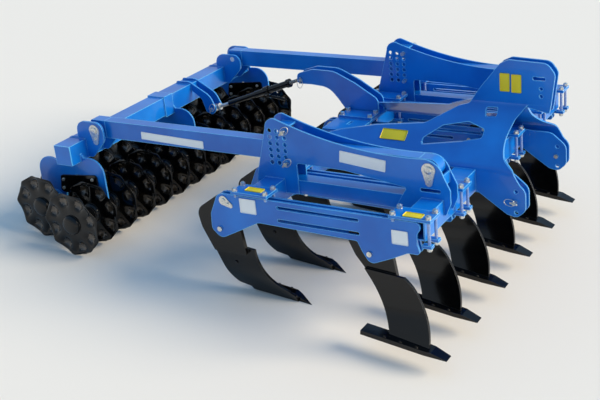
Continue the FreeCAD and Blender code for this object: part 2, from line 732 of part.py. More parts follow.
def roller_bracket():
    """The double curved plate on the roller beam that the adjuster pushes on."""
    half = ROLLER_BEAM / 2
    top = ROLLER_BEAM_Z + half
    x0 = ROLLER_BEAM_X
    end_x, end_z = ADJUSTER_END
    outline = [(x0 - half, top, 0), (x0 - half + 8, top + 16, 10), (x0 + 60, top + 20, 100),
               (end_x - 5, end_z + 125, 120), (end_x + 52, end_z + 10, 30),
               (end_x + 5, end_z - 48, 40), (end_x - 55, end_z - 15, 30),
               (end_x - 85, end_z + 90, 60), (x0 + half, ROLLER_BEAM_Z + 20, 0),
               (x0 + half, top, 0)]
    plates = []
    for side in (-1, 1):
        inner = ADJUSTER_Y + side * ADJUSTER_GAP / 2
        outer = inner + side * ADJUSTER_PLATE
        leaf = plate(outline, min(inner, outer), max(inner, outer))
        head = bar(end_x, end_z, 17, min(outer, outer + side * 10), max(outer, outer + side * 10))
        plates.append(leaf.fuse(head).removeSplitter())
    return Part.makeCompound(plates)


# ---- rollers ----
def wave(corner):
    return DISC_WAVE if corner % 2 else -DISC_WAVE


def disc_rim(x, z, y):
    """Corner points of a pressed disc: an inner ring that is flat and a wavy outer ring."""
    inner = []
    outer = []
    for i in range(DISC_CORNERS):
        turn = math.radians(270 - PARK_PITCH + i * 360 / DISC_CORNERS)
        inner.append(V(x + DISC_FLAT_RADIUS * math.cos(turn), y,
                       z + DISC_FLAT_RADIUS * math.sin(turn)))
        outer.append(V(x + ROLLER_RADIUS * math.cos(turn), y + wave(i),
                       z + ROLLER_RADIUS * math.sin(turn)))
    return inner, outer


def face_of(points):
    return Part.Face(Part.makePolygon(points + points[:1]))


def disc_side(inner, outer):
    faces = [face_of(inner)]
    for i in range(DISC_CORNERS):
        j = (i + 1) % DISC_CORNERS
        faces.append(face_of([inner[i], inner[j], outer[j]]))
        faces.append(face_of([inner[i], outer[j], outer[i]]))
    return faces


def disc(x, z, y):
    """One pressed disc as a closed solid."""
    low_in, low_out = disc_rim(x, z, y - DISC_SHEET / 2)
    high_in, high_out = disc_rim(x, z, y + DISC_SHEET / 2)
    faces = disc_side(low_in, low_out) + disc_side(high_in, high_out)
    for i in range(DISC_CORNERS):
        j = (i + 1) % DISC_CORNERS
        faces.append(face_of([low_out[i], low_out[j], high_out[j], high_out[i]]))
    solid = Part.Solid(Part.Shell(faces))
    if solid.Volume < 0:
        solid.reverse()
    return solid


def disc_places(row):
    """Y of each disc; the rear row's discs stand midway between the front row's."""
    return [(i - (DISCS[row] - 1) / 2) * DISC_PITCH for i in range(DISCS[row])]


def roller(row):
    x, z = axle(row)
    reach = disc_places(row)[-1] + AXLE_OVERHANG
    shaft = bar(x, z, AXLE_RADIUS, -reach, reach)
    return shaft.fuse([disc(x, z, y) for y in disc_places(row)])


# ---- headstock ----
LINK_NOSE = [(127, 795, 90), (168, 758, 75), (168, 620, 50), (110, 565, 50), (40, 580, 40)]
SHEET_OUTLINE = [(SHEET_REAR, BEAM_TOP, 0), (SHEET_REAR, 935, 0), (-1260, 992, 60),
                 (-1000, 1033, 200), (-640, 1066, 120), (-440, 1165, 60), (-372, 1182, 20),
                 (-300, 1290, 60), (-150, 1475, 40), (-90, 1503, 40), (175, 1492, 70),
                 (228, 1420, 60), (198, 1205, 0), (40, 1200, 20), (-18, 1119, 80),
                 (-42, 1010, 140), (-5, 935, 60), (75, 888, 40)]
LONG_OPENING = [(-612, 962, 14), (-612, 995, 14), (-500, 1064, 40), (-330, 1093, 60),
                (-200, 1064, 18), (-200, 1020, 18), (-330, 996, 60)]
SMALL_OPENING = [(-245, 1168, 10), (-160, 1172, 10), (-150, 1127, 10), (-225, 1122, 10)]


def bent_profile(x0, x1):
    """The sheet's section, upright, sloping and upright again, from x0 to x1."""
    lean = math.atan2(LINK_HALF - TOWER_HALF, CREASE_Z - CREASE_LOW)
    inset = SHEET * math.tan(lean / 2)
    high = 1600
    low = 500
    inner = TOWER_HALF - SHEET
    section = [(-TOWER_HALF, high, 0), (-TOWER_HALF, CREASE_Z, UPPER_BEND),
               (-LINK_HALF, CREASE_LOW, LOWER_BEND), (-LINK_HALF, low, 0),
               (SHEET - LINK_HALF, low, 0),
               (SHEET - LINK_HALF, CREASE_LOW - inset, LOWER_BEND - SHEET),
               (-inner, CREASE_Z - inset, UPPER_BEND + SHEET), (-inner, high, 0)]
    wire = rounded_wire(section, lambda y, z: (x0, y, z))
    return Part.Face(wire).extrude(V(x1 - x0, 0, 0))


def headstock_sheet():
    """One bent sheet of the right side: tower plate, sloping deck and outer link plate."""
    wide = LINK_HALF + SHEET
    side = plate(SHEET_OUTLINE + LINK_NOSE + [(FRONT_BEAM_FACE, BEAM_BOTTOM + 8, 0),
                                              (FRONT_BEAM_FACE, BEAM_TOP, 0)], -wide, 0)
    sheet = bent_profile(SHEET_REAR - 50, 300).common(side)
    flap = plate([(10, CREASE_Z + 25, 0), (10, CREASE_Z - 4, 0), (187, 1148, 15),
                  (200, CREASE_Z + 25, 0)], -TOWER_HALF, SHEET - TOWER_HALF)
    upper = [plate(outline, -wide, -TOWER_HALF - 1) for outline in (LONG_OPENING, SMALL_OPENING)]
    return sheet.fuse(flap).cut(upper + top_holes() + link_holes(-wide, 0)).removeSplitter()


def top_holes():
    """Tools for the slot and the holes of the top link in a tower plate."""
    y0 = -TOWER_HALF - 1
    y1 = -TOWER_HALF + SHEET + 1
    middle = TOP_HOLE_X - TOP_SLOT_BACK
    holes = [slot(middle - TOP_SLOT_LENGTH / 2, middle + TOP_SLOT_LENGTH / 2, TOP_SLOT_Z,
                  TOP_BORE, y0, y1)]
    for i in range(2):
        holes.append(bar(TOP_HOLE_X, TOP_HOLE_Z - i * TOP_HOLE_PITCH, TOP_BORE, y0, y1))
    return holes


def link_holes(y0, y1):
    """Three holes one above another; the middle one, with the pin, stands further back."""
    return [bar(LINK_HOLE_X + (LINK_HOLE_STEP if i else 0), LINK_HOLE_Z + i * LINK_HOLE_PITCH, LINK_BORE,
                y0 - 1, y1 + 1) for i in (-1, 0, 1)]


def inner_link_plate():
    y0 = -LINK_INNER
    y1 = y0 + SHEET
    face = plate([(FRONT_BEAM_FACE, BEAM_TOP - 10, 0), (60, BEAM_TOP - 20, 80)] + LINK_NOSE
                 + [(FRONT_BEAM_FACE, BEAM_BOTTOM + 8, 0)], y0, y1)
    return face.cut(link_holes(y0, y1))


def left_headstock_sheet():
    """The left sheet rests on the bracket's base plate and passes outside the bracket."""
    rear = REAR_BEAM_X - BASE_REAR
    front = REAR_BEAM_X + BASE_FRONT
    outer = ADJUSTER_Y + ADJUSTER_GAP / 2 + ADJUSTER_PLATE
    base = box(rear, front, BASE_Y[0], BASE_Y[1], BEAM_TOP - 1, BEAM_TOP + BASE_PLATE)
    bracket = box(rear, front + 4, 0, outer + 4, BEAM_TOP - 1, CREASE_Z)
    return mirror_y(headstock_sheet()).cut([base, bracket])


def link_pins():
    pins = []
    for side in (-1, 1):
        outer = side * (LINK_HALF + LINK_PIN_OVERHANG)
        inner = side * (LINK_INNER - SHEET - 12)
        pins.append(bar(LINK_HOLE_X, LINK_HOLE_Z, LINK_PIN_RADIUS, min(inner, outer),
                        max(inner, outer)))
    return Part.makeCompound(pins)


# ---- adjuster ----
def base_plate():
    x0 = REAR_BEAM_X - BASE_REAR
    x1 = REAR_BEAM_X + BASE_FRONT
    base = box(x0, x1, BASE_Y[0], BASE_Y[1], BEAM_TOP, BEAM_TOP + BASE_PLATE)
    studs = clamp(REAR_BEAM_X, HOLDER_Y[3], BEAM_TOP + BASE_PLATE)
    windows = [box(REAR_BEAM_X - 10, REAR_BEAM_X + 12, y, y + BASE_WINDOW, BEAM_TOP - 1,
                   BEAM_TOP + BASE_PLATE + 1)
               for y in (BASE_Y[0] + 120, BASE_Y[1] - 30 - BASE_WINDOW)]
    return base.cut([studs] + windows)


def frame_bracket():
    """The long double plate that carries the adjuster's upper pin."""
    x, z = ADJUSTER_TOP
    low = BEAM_TOP + BASE_PLATE
    outline = [(x - 38, z - 30, 30), (x - 28, z + 52, 40), (x + 110, z + 95, 80),
               (x + 300, z + 92, 200), (x + 480, z + 10, 200), (REAR_BEAM_X + 128, z - 105, 60),
               (REAR_BEAM_X + 128, low, 0), (REAR_BEAM_X - 145, low, 0),
               (REAR_BEAM_X - 215, z - 128, 60), (x + 250, z - 40, 160), (x + 100, z - 28, 100)]
    parts = []
    for side in (-1, 1):
        inner = ADJUSTER_Y + side * ADJUSTER_GAP / 2
        outer = inner + side * ADJUSTER_PLATE
        leaf = plate(outline, min(inner, outer), max(inner, outer))
        bore = ADJUSTER_PIN_RADIUS + RUN
        parts.append(leaf.cut(bar(x, z, bore, inner - ADJUSTER_GAP, inner + ADJUSTER_GAP)))
    return Part.makeCompound(parts)


def adjuster_pin():
    x, z = ADJUSTER_TOP
    reach = ADJUSTER_GAP / 2 + ADJUSTER_PLATE + 12
    return bar(x, z, ADJUSTER_PIN_RADIUS, ADJUSTER_Y - reach, ADJUSTER_Y + reach)


def along(start, radius, distance, length):
    """A round bar on the adjuster's axis, from a distance below the upper pin."""
    x0, z0 = ADJUSTER_TOP
    x1, z1 = ADJUSTER_END
    whole = math.hypot(x1 - x0, z1 - z0)
    axis = V((x1 - x0) / whole, 0, (z1 - z0) / whole)
    base = start + axis * distance
    return Part.makeCylinder(radius, length, base, axis)


def eye(place, bore):
    x, z = place
    half = EYE_WIDTH / 2
    ring = bar(x, z, EYE_RADIUS, ADJUSTER_Y - half, ADJUSTER_Y + half)
    return ring.cut(bar(x, z, bore, ADJUSTER_Y - EYE_WIDTH, ADJUSTER_Y + EYE_WIDTH))


def adjuster_span():
    x0, z0 = ADJUSTER_TOP
    x1, z1 = ADJUSTER_END
    return math.hypot(x1 - x0, z1 - z0)


def adjuster_tube():
    """Upper eye, screw and nut, the barrel with its handle boss, and the sleeve below."""
    top = V(ADJUSTER_TOP[0], ADJUSTER_Y, ADJUSTER_TOP[1])
    bore = ADJUSTER_PIN_RADIUS + RUN
    neck_start = EYE_RADIUS - 4
    nut_start = neck_start + NECK_LENGTH
    barrel_start = nut_start + NUT_LENGTH
    sleeve_start = barrel_start + BARREL_LENGTH
    solid = eye(ADJUSTER_TOP, bore).fuse([
        along(top, ROD_RADIUS, neck_start, NECK_LENGTH + 5),
        along(top, TUBE_RADIUS + 8, nut_start, NUT_LENGTH),
        along(top, TUBE_RADIUS, barrel_start, BARREL_LENGTH),
        along(top, SLEEVE_RADIUS, sleeve_start, SLEEVE_LENGTH)])
    hollow = along(top, ROD_RADIUS + SEAT, barrel_start + 60,
                   BARREL_LENGTH + SLEEVE_LENGTH)
    return solid.cut(hollow).removeSplitter()


def adjuster_handle():
    """The short ratchet handle under the barrel."""
    top = V(ADJUSTER_TOP[0], ADJUSTER_Y, ADJUSTER_TOP[1])
    start = EYE_RADIUS + NECK_LENGTH + NUT_LENGTH + 190
    boss = along(top, TUBE_RADIUS + 10, start, 46)
    boss = boss.cut(along(top, TUBE_RADIUS, start - 1, 48))
    x0, z0 = ADJUSTER_TOP
    x1, z1 = ADJUSTER_END
    whole = adjuster_span()
    lever_x = x0 + (x1 - x0) * (start + 23) / whole
    lever_z = z0 + (z1 - z0) * (start + 23) / whole
    lever = Part.makeCylinder(11, 170, V(lever_x, ADJUSTER_Y, lever_z - TUBE_RADIUS - 16), V(1, 0, -0.1))
    stem = Part.makeCylinder(9, 30, V(lever_x, ADJUSTER_Y, lever_z - TUBE_RADIUS - 30), V(0, 0, 1))
    core = along(top, TUBE_RADIUS, start - 60, 200)
    return boss.fuse([lever.cut(core), stem.cut(core)]).removeSplitter()


def adjuster_rod():
    top = V(ADJUSTER_TOP[0], ADJUSTER_Y, ADJUSTER_TOP[1])
    whole = adjuster_span()
    rod = along(top, ROD_RADIUS, whole - EYE_RADIUS - ROD_LENGTH + 4, ROD_LENGTH)
    return eye(ADJUSTER_END, ADJUSTER_PIN_RADIUS + SEAT).fuse(rod).removeSplitter()


# ---- the whole machine ----
def build_nodes():
    nodes = {}
    nodes["front_beam"] = cross_beam(FRONT_BEAM_X)
    nodes["rear_beam"] = cross_beam(REAR_BEAM_X)
    front_tip = front_point()
    rear_tip = rear_point()
    front_body = tine(FRONT_BACK_EDGE, FRONT_NOSE_EDGE, FRONT_FOOT, FRONT_SHANK_BACK, front_tip)
    rear_body = tine(REAR_BACK_EDGE, REAR_NOSE_EDGE, REAR_FOOT, REAR_SHANK_BACK, rear_tip)
    for i, y in enumerate(HOLDER_Y):
        nodes["holder_%d" % (i + 1)] = holder(y)
        nodes["front_tine_%d" % (i + 1)] = placed(front_body, 0, y, -1)
        nodes["rear_tine_%d" % (i + 1)] = placed(rear_body, -ROW_OFFSET, y, 1)
    nodes["front_points"] = Part.makeCompound([placed(front_tip, 0, y, -1) for y in HOLDER_Y])
    nodes["rear_points"] = Part.makeCompound(
        [placed(rear_tip, -ROW_OFFSET, y, 1) for y in HOLDER_Y])
    nodes["front_clamps"] = clamp_row(FRONT_BEAM_X)
    nodes["rear_clamps"] = clamp_row(REAR_BEAM_X)
    nodes["tine_pivots"], nodes["shear_bolts"] = pin_rows()
    nodes["arm_carrier_right"] = arm_carrier()
    nodes["arm_carrier_left"] = mirror_y(arm_carrier())
    nodes["side_rails"] = side_rails()
    nodes["arm_pins"] = front_pins()
    nodes["depth_pins"] = depth_pins()
    nodes["headstock_right"] = headstock_sheet()
    nodes["headstock_left"] = left_headstock_sheet()
    nodes["link_plates"] = Part.makeCompound([inner_link_plate(), mirror_y(inner_link_plate())])
    nodes["link_pins"] = link_pins()
    nodes["bracket_base"] = base_plate()
    nodes["adjuster_bracket"] = frame_bracket()
    nodes["arm_right"] = roller_arm(-1)
    nodes["arm_left"] = roller_arm(1)
    nodes["arm_eyes"] = arm_eyes()
    nodes["rear_pins"] = rear_pins()
    nodes["roller_beam"] = roller_beam()
    nodes["roller_caps"] = roller_caps()
    nodes["pivot_lugs"] = pivot_lugs()
    nodes["hangers"] = Part.makeCompound([hanger(y) for y in HANGER_Y])
    nodes["roller_end_plates"] = end_plates()
    nodes["roller_bracket"] = roller_bracket()
    nodes["front_roller"] = roller(0)
    nodes["rear_roller"] = roller(1)
    nodes["adjuster_pin"] = adjuster_pin()
    nodes["adjuster_tube"] = adjuster_tube()
    nodes["adjuster_handle"] = adjuster_handle()
    nodes["adjuster_rod"] = adjuster_rod()
    return nodes


def park(shape):
    """Turn a level piece into the parked attitude, about the rear points' tips."""
    turned = shape.copy()
    turned.rotate(V(-ROW_OFFSET, 0, 0), V(0, 1, 0), -PARK_PITCH)
    return turned


def park_point(x, y, z, shift):
    """A point of the level machine in the parked frame, in metres."""
    dx = x + ROW_OFFSET
    px = -ROW_OFFSET + dx * math.cos(PARK) - z * math.sin(PARK)
    pz = dx * math.sin(PARK) + z * math.cos(PARK)
    return [round(v / 1000, 6) for v in (px + shift.x, y + shift.y, pz + shift.z)]


def report_points(shift):
    """Print the joints' and mounts' places, in metres in the parked frame."""
    first_x, first_z = axle(0)
    second_x, second_z = axle(1)
    places = {
        "front_pivot": (ARM_FRONT_X, 0, ARM_Z),
        "rear_pivot": (ARM_REAR_X, 0, ARM_Z),
        "front_axle": (first_x, 0, first_z),
        "rear_axle": (second_x, 0, second_z),
        "adjuster_top": (ADJUSTER_TOP[0], ADJUSTER_Y, ADJUSTER_TOP[1]),
        "adjuster_end": (ADJUSTER_END[0], ADJUSTER_Y, ADJUSTER_END[1]),
        "top_hole_high": (TOP_HOLE_X, 0, TOP_HOLE_Z),
        "top_hole_low": (TOP_HOLE_X, 0, TOP_HOLE_Z - TOP_HOLE_PITCH),
        "top_slot": (TOP_HOLE_X - TOP_SLOT_BACK, 0, TOP_SLOT_Z),
        "link_pin": (LINK_HOLE_X, LINK_INNER + LINK_GAP / 2, LINK_HOLE_Z),
        "link_low": (LINK_HOLE_X + LINK_HOLE_STEP, LINK_INNER + LINK_GAP / 2, LINK_HOLE_Z - LINK_HOLE_PITCH),
        "link_high": (LINK_HOLE_X + LINK_HOLE_STEP, LINK_INNER + LINK_GAP / 2, LINK_HOLE_Z + LINK_HOLE_PITCH),
    }
    for name, place in places.items():
        print("POINT", name, park_point(*place, shift))
    print("TILT", FRAME_TILT, "degrees each way at the rear pivots")


def main():
    os.makedirs("parts", exist_ok=True)
    nodes = {name: park(shape) for name, shape in build_nodes().items()}
    whole = Part.makeCompound(list(nodes.values())).optimalBoundingBox(False)
    shift = V(-(whole.XMin + whole.XMax) / 2, -(whole.YMin + whole.YMax) / 2, -whole.ZMin)
    volume = 0
    for name, shape in nodes.items():
        shape.translate(shift)
        volume += shape.Volume
        shape.exportStep("parts/%s.step" % name)
        print("NODE", name, len(shape.Solids), round(shape.Volume / 1e9, 6), shape.isValid())
    print("SHIFT", shift, "VOLUME", round(volume / 1e9, 4))
    print("SIZE", whole.XLength, whole.YLength, whole.ZLength)
    report_points(shift)


main()
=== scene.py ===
import json
import math

import bmesh
import bpy
from mathutils import Matrix, Vector


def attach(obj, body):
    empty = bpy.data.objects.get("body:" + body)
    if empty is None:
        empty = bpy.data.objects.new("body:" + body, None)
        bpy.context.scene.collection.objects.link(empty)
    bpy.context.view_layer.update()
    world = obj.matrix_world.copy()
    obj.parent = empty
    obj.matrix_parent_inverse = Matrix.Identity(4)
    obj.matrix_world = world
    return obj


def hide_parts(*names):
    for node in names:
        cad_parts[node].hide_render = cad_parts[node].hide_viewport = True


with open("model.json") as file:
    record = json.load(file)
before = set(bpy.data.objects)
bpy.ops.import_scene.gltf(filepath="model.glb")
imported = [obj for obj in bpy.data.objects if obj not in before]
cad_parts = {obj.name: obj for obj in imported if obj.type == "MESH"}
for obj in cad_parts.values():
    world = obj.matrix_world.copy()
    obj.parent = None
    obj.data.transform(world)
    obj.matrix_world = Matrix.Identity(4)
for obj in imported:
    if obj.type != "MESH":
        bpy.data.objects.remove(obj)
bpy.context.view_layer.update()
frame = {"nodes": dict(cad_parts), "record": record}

# ---------------------------------------------------------------------------
# The camera stands to the right of the machine and ahead of it, above head height, and looks
# down across the tines towards the roller.
# ---------------------------------------------------------------------------
CAMERA_TURN = math.radians(30.3)
CAMERA_DOWN = math.radians(26.7)
CAMERA_DISTANCE = 8.502
CAMERA_AIM = Vector((-0.098, -0.013, 0.139))
CAMERA_LENS = 64.24         # millimetres, like the sensor
CAMERA_SENSOR = 36.0
CAMERA_REACH = 200.0

bpy.ops.object.select_all(action="DESELECT")
bpy.ops.object.camera_add(rotation=(math.pi / 2 - CAMERA_DOWN, 0.0, CAMERA_TURN))
camera = bpy.context.object
camera.data.lens = CAMERA_LENS
camera.data.sensor_width = CAMERA_SENSOR
camera.data.clip_end = CAMERA_REACH
back_off = Vector((0, 0, CAMERA_DISTANCE))
camera.location = CAMERA_AIM + camera.rotation_euler.to_matrix() @ back_off
bpy.context.scene.camera = camera
bpy.context.scene.view_settings.view_transform = "Standard"

# ---------------------------------------------------------------------------
# Light: a plain, pale studio. A wide, warm key light stands ahead of the machine and a little
# to its left, and a pale surround, bluer towards the top, fills the rest softly.
# ---------------------------------------------------------------------------
KEY_TURN = math.radians(111.0)
KEY_HEIGHT = math.radians(32.0)
KEY_WIDTH = math.radians(34.0)
KEY_POWER = 4.6
KEY_COLOUR = "#ffeed2"
SURROUND_POWER = 0.86
SURROUND = ((0.0, "#e4e2de"), (0.1, "#e2eaf0"), (0.4, "#a8c8e8"), (1.0, "#78aade"))   # upwards


def linear(code):
    """An sRGB hex colour as linear RGBA."""
    channels = [int(code[i:i + 2], 16) / 255 for i in (1, 3, 5)]
    return tuple(c / 12.92 if c <= 0.04045 else ((c + 0.055) / 1.055) ** 2.4
                 for c in channels) + (1.0,)


def node(tree, kind, settings=None, links=None, **values):
    """Adds a node with its properties, socket values and incoming links, and returns it."""
    made = tree.nodes.new(kind)
    for name, value in (settings or {}).items():
        setattr(made, name, value)
    sockets = {socket.name: socket for socket in made.inputs if socket.enabled}
    for name, value in values.items():
        sockets[name.replace("_", " ")].default_value = value
    for name, source in (links or {}).items():
        tree.links.new(source, sockets[name])
    return made


def ramp(tree, factor, *stops):
    """A colour ramp over a factor, from (position, hex colour) stops."""
    made = node(tree, "ShaderNodeValToRGB", links={"Fac": factor})
    keys = made.color_ramp.elements
    while len(keys) < len(stops):
        keys.new(0.5)           # anywhere: every key is placed below
    for key, (position, code) in zip(keys, stops):
        key.position = position
        key.color = linear(code)
    return made.outputs["Color"]


bpy.ops.object.light_add(type="SUN", rotation=(math.pi / 2 - KEY_HEIGHT, 0.0, KEY_TURN))
key = bpy.context.object.data
key.energy = KEY_POWER
key.angle = KEY_WIDTH
key.color = linear(KEY_COLOUR)[:3]

world = bpy.data.worlds.new("pale_surround")
world.use_nodes = True
bpy.context.scene.world = world
tree = world.node_tree
tree.nodes.clear()
ray = node(tree, "ShaderNodeTexCoord")
height = node(tree, "ShaderNodeSeparateXYZ", links={"Vector": ray.outputs["Generated"]})
air = ramp(tree, height.outputs["Z"], *SURROUND)
glow = node(tree, "ShaderNodeBackground", links={"Color": air}, Strength=SURROUND_POWER)
node(tree, "ShaderNodeOutputWorld", links={"Surface": glow.outputs["Background"]})

# ---------------------------------------------------------------------------
# Floor: a plain, pale, matt sheet of ground under the machine, so wide that its edge lies far
# off on every side.
# ---------------------------------------------------------------------------
FLOOR_SIZE = 400.0
FLOOR_COLOUR = "#e6e2da"
FLOOR_ROUGHNESS = 0.85


def new_finish(name):
    """A new material with its node tree and its shader."""
    made = bpy.data.materials.new(name)
    made.use_nodes = True
    return made, made.node_tree, made.node_tree.nodes["Principled BSDF"]


bpy.ops.object.select_all(action="DESELECT")
bpy.ops.mesh.primitive_plane_add(size=FLOOR_SIZE, location=(0.0, 0.0, 0.0))
floor = bpy.context.object
floor.name = "floor"
pale, tree, shader = new_finish("pale_matt_floor")
shader.inputs["Base Color"].default_value = linear(FLOOR_COLOUR)
shader.inputs["Roughness"].default_value = FLOOR_ROUGHNESS
floor.data.materials.append(pale)

# ---------------------------------------------------------------------------
# Frame, holders, arms and roller frame: welded steel plate and square tube in gloss blue
# two-pack enamel, sprayed on, which gives a clear mirror-like coat with a faint orange peel.
# ---------------------------------------------------------------------------
PEEL = 0.006                # metres across a ripple of orange peel; coarser than the real 2 mm
EDGE = 0.0025               # rounding of plate edges where paint pulls back
RIM_HIGHLIGHT = 0.007                 # width of the painted highlight along an edge, a lighter band drawn wider than the real 2 mm
WAVINESS = 0.18             # metres between the dents of rolled plate
DRIFT = 0.4                 # metres across a patch of one shade
DRIFT_BAND = (0.35, 0.65)   # where in the drift the first shade ends and the second begins
RIM_HIGHLIGHT_TURN = (0.15, 0.5)      # turn of the normal where the painted edge highlight starts and where it is brightest
DENTS = {"Strength": 0.12, "Distance": 0.02}
RIPPLES_OF_PEEL = {"Strength": 0.05, "Distance": 0.001}
EDGE_SAMPLES = {"samples": 6}
COAT_ROUGHNESS = 0.06


def gloss_enamel(name, low, high, rim_highlight, roughness, coat, specular=0.5):
    """Sprayed enamel that drifts between two shades, with a painted highlight along its edges."""
    paint, tree, shader = new_finish(name)
    place = node(tree, "ShaderNodeTexCoord")
    drift = node(tree, "ShaderNodeTexNoise", links={"Vector": place.outputs["Object"]},
                 Scale=1 / DRIFT, Detail=3.0)
    shade = ramp(tree, drift.outputs["Fac"], (DRIFT_BAND[0], low), (DRIFT_BAND[1], high))
    shape = node(tree, "ShaderNodeNewGeometry")
    edge = node(tree, "ShaderNodeBevel", settings=EDGE_SAMPLES, Radius=EDGE)
    highlight_edge = node(tree, "ShaderNodeBevel", settings=EDGE_SAMPLES, Radius=RIM_HIGHLIGHT)
    turn = node(tree, "ShaderNodeVectorMath", settings={"operation": "DISTANCE"})
    tree.links.new(highlight_edge.outputs["Normal"], turn.inputs[0])
    tree.links.new(shape.outputs["Normal"], turn.inputs[1])
    # Painted highlight: near an edge the colour turns to the rim colour, standing in for light
    # the edge catches.
    painted_highlight_share = node(tree, "ShaderNodeMapRange", links={"Value": turn.outputs["Value"]},
                From_Min=RIM_HIGHLIGHT_TURN[0], From_Max=RIM_HIGHLIGHT_TURN[1])
    lit = node(tree, "ShaderNodeMix", settings={"data_type": "RGBA"},
               links={"Factor": painted_highlight_share.outputs["Result"], "A": shade}, B=linear(rim_highlight))
    colour = next(out for out in lit.outputs if out.enabled)
    tree.links.new(colour, shader.inputs["Base Color"])
    peel = node(tree, "ShaderNodeTexNoise", links={"Vector": place.outputs["Object"]},
                Scale=1 / PEEL, Detail=1.0)
    sag = node(tree, "ShaderNodeTexNoise", links={"Vector": place.outputs["Object"]},
               Scale=1 / WAVINESS, Detail=1.0)
    plate = node(tree, "ShaderNodeBump",
                 links={"Height": sag.outputs["Fac"], "Normal": edge.outputs["Normal"]},
                 **DENTS)
    bump = node(tree, "ShaderNodeBump",
                links={"Height": peel.outputs["Fac"], "Normal": plate.outputs["Normal"]},
                **RIPPLES_OF_PEEL)
    tree.links.new(bump.outputs["Normal"], shader.inputs["Normal"])
    shader.inputs["Roughness"].default_value = roughness
    shader.inputs["Coat Weight"].default_value = coat
    shader.inputs["Coat Roughness"].default_value = COAT_ROUGHNESS
    shader.inputs["Specular IOR Level"].default_value = specular
    return paint


def dress(material, names):
    """Gives CAD nodes a material in every slot."""
    for name in names:
        piece = frame["nodes"][name]
        if not piece.material_slots:
            piece.data.materials.append(material)
        for slot in piece.material_slots:
            slot.material = material


SLOT_OF = {part["node"]: part["material_slot"] for part in frame["record"]["subparts"]}


def nodes_in(slot):
    """The names of the CAD nodes that take their finish from a slot."""
    return [name for name, its_slot in SLOT_OF.items() if its_slot == slot]


# The third colour is the painted highlight along the edges.
blue_enamel = gloss_enamel("gloss_blue_enamel", "#0262be", "#0476d4", "#74d2fc",
                           roughness=0.3, coat=0.35, specular=0.4)
dress(blue_enamel, nodes_in("blue"))

# ---------------------------------------------------------------------------
# Tines, points, rollers, end plates and the adjuster's barrel: steel in gloss black paint. The
# tines and points are hardened, dipped in the paint and never yet in soil.
# ---------------------------------------------------------------------------
# The third colour is the painted highlight along the edges.
black_paint = gloss_enamel("gloss_black_dip_paint", "#030304", "#070708", "#2c2a28",
                           roughness=0.15, coat=0.15, specular=0.28)
dress(black_paint, nodes_in("black"))

# ---------------------------------------------------------------------------
# Pins, shear bolts and the adjuster's rod: turned steel with a bright zinc plating, which is
# slightly mottled by its crystals.
# ---------------------------------------------------------------------------
MOTTLE = 0.012              # metres across a patch of crystals
PATCHES = ((0.3, "#b9bcbc"), (0.7, "#eceae2"))
ZINC_METALLIC = 0.9
ZINC_ROUGHNESS = 0.3

zinc, tree, shader = new_finish("bright_zinc_plating")
place = node(tree, "ShaderNodeTexCoord")
mottle = node(tree, "ShaderNodeTexNoise", links={"Vector": place.outputs["Object"]},
              Scale=1 / MOTTLE, Detail=4.0)
tree.links.new(ramp(tree, mottle.outputs["Fac"], *PATCHES), shader.inputs["Base Color"])
shader.inputs["Metallic"].default_value = ZINC_METALLIC
shader.inputs["Roughness"].default_value = ZINC_ROUGHNESS
dress(zinc, nodes_in("zinc"))
dress(zinc, nodes_in("screw"))

# ---------------------------------------------------------------------------
# Beam clamps: four M20 studs hold each tine holder's plate on a beam. They are zinc-plated
# threaded rods with a washer and a hexagon nut above the plate and, where it has feet, below.
# ---------------------------------------------------------------------------
JOINTS = {joint["name"]: joint for joint in frame["record"]["behaviour"]["joints"]}
FRONT_PIVOT = Vector(JOINTS["roller_arm_swing"]["pos_m"])
REAR_PIVOT = Vector(JOINTS["roller_frame_tilt"]["pos_m"])
PITCH = math.atan2(FRONT_PIVOT.z - REAR_PIVOT.z, FRONT_PIVOT.x - REAR_PIVOT.x)
LEVEL_PIVOT = Vector((-0.265, 0.0, 1.065))      # front pivot from the front tips, machine level
STAND = (Matrix.Translation(FRONT_PIVOT) @ Matrix.Rotation(-PITCH, 4, "Y")
         @ Matrix.Translation(-LEVEL_PIVOT))

BEAMS_X = (-0.250, -1.405)
HOLDERS_Y = (-1.25, -0.75, -0.25, 0.25, 0.75, 1.25)
STUD_X = 0.118
STUD_Y = 0.05
STUD_RADIUS = 0.0106
PLATE_TOP = 0.89
FOOT_LOW = 0.70
STUD_TOP = PLATE_TOP + 0.025
STUD_LOW = FOOT_LOW - 0.024
SHORT_STUD_LOW = 0.8445     # over the last holders, on whose top edge these studs end
BASE_PLATE = 0.015
BASE_PLATE_Y = 0.25         # the holder whose rear clamp lies on the adjuster's base plate
NUT_RADIUS = 0.0175
NUT_HEIGHT = 0.016
NUT_CHAMFER = 0.1           # as shares of its radius: width and height of a nut's chamfer,
NUT_FACE = 0.3              # and width of the ring inside it
WASHER = 0.003
WASHER_OUT = 1.12           # radius of a washer, as a share of its nut's
WASHER_EDGE = (0.06, 0.2)   # shares of the nut's radius and of the washer's thickness
THREAD_TURN = 0.005         # metres from crest to crest, drawn coarser than the real 2.5 mm
THREAD_ROOT = 0.93          # radius between two crests, as a share of theirs
FACING = 0.9                # a face looks along an axis if its normal has this much of it
UPSIDE_DOWN = Matrix.Rotation(math.pi, 4, "X")


def choose(test, kind="VERT"):
    """In edit mode, selects the vertices, edges or faces that pass a test and nothing else."""
    bpy.ops.mesh.select_mode(type=kind)
    bpy.ops.mesh.select_all(action="DESELECT")
    mesh = bmesh.from_edit_mesh(bpy.context.object.data)
    for part in {"VERT": mesh.verts, "EDGE": mesh.edges, "FACE": mesh.faces}[kind]:
        part.select_set(bool(test(part)))
    mesh.select_flush(True)
    bmesh.update_edit_mesh(bpy.context.object.data)


def apply_modifier(kind, **settings):
    """Adds a modifier to the active piece and applies it."""
    added = bpy.context.object.modifiers.new(kind.lower(), kind)
    for name, value in settings.items():
        setattr(added, name, value)
    bpy.ops.object.modifier_apply(modifier=added.name)


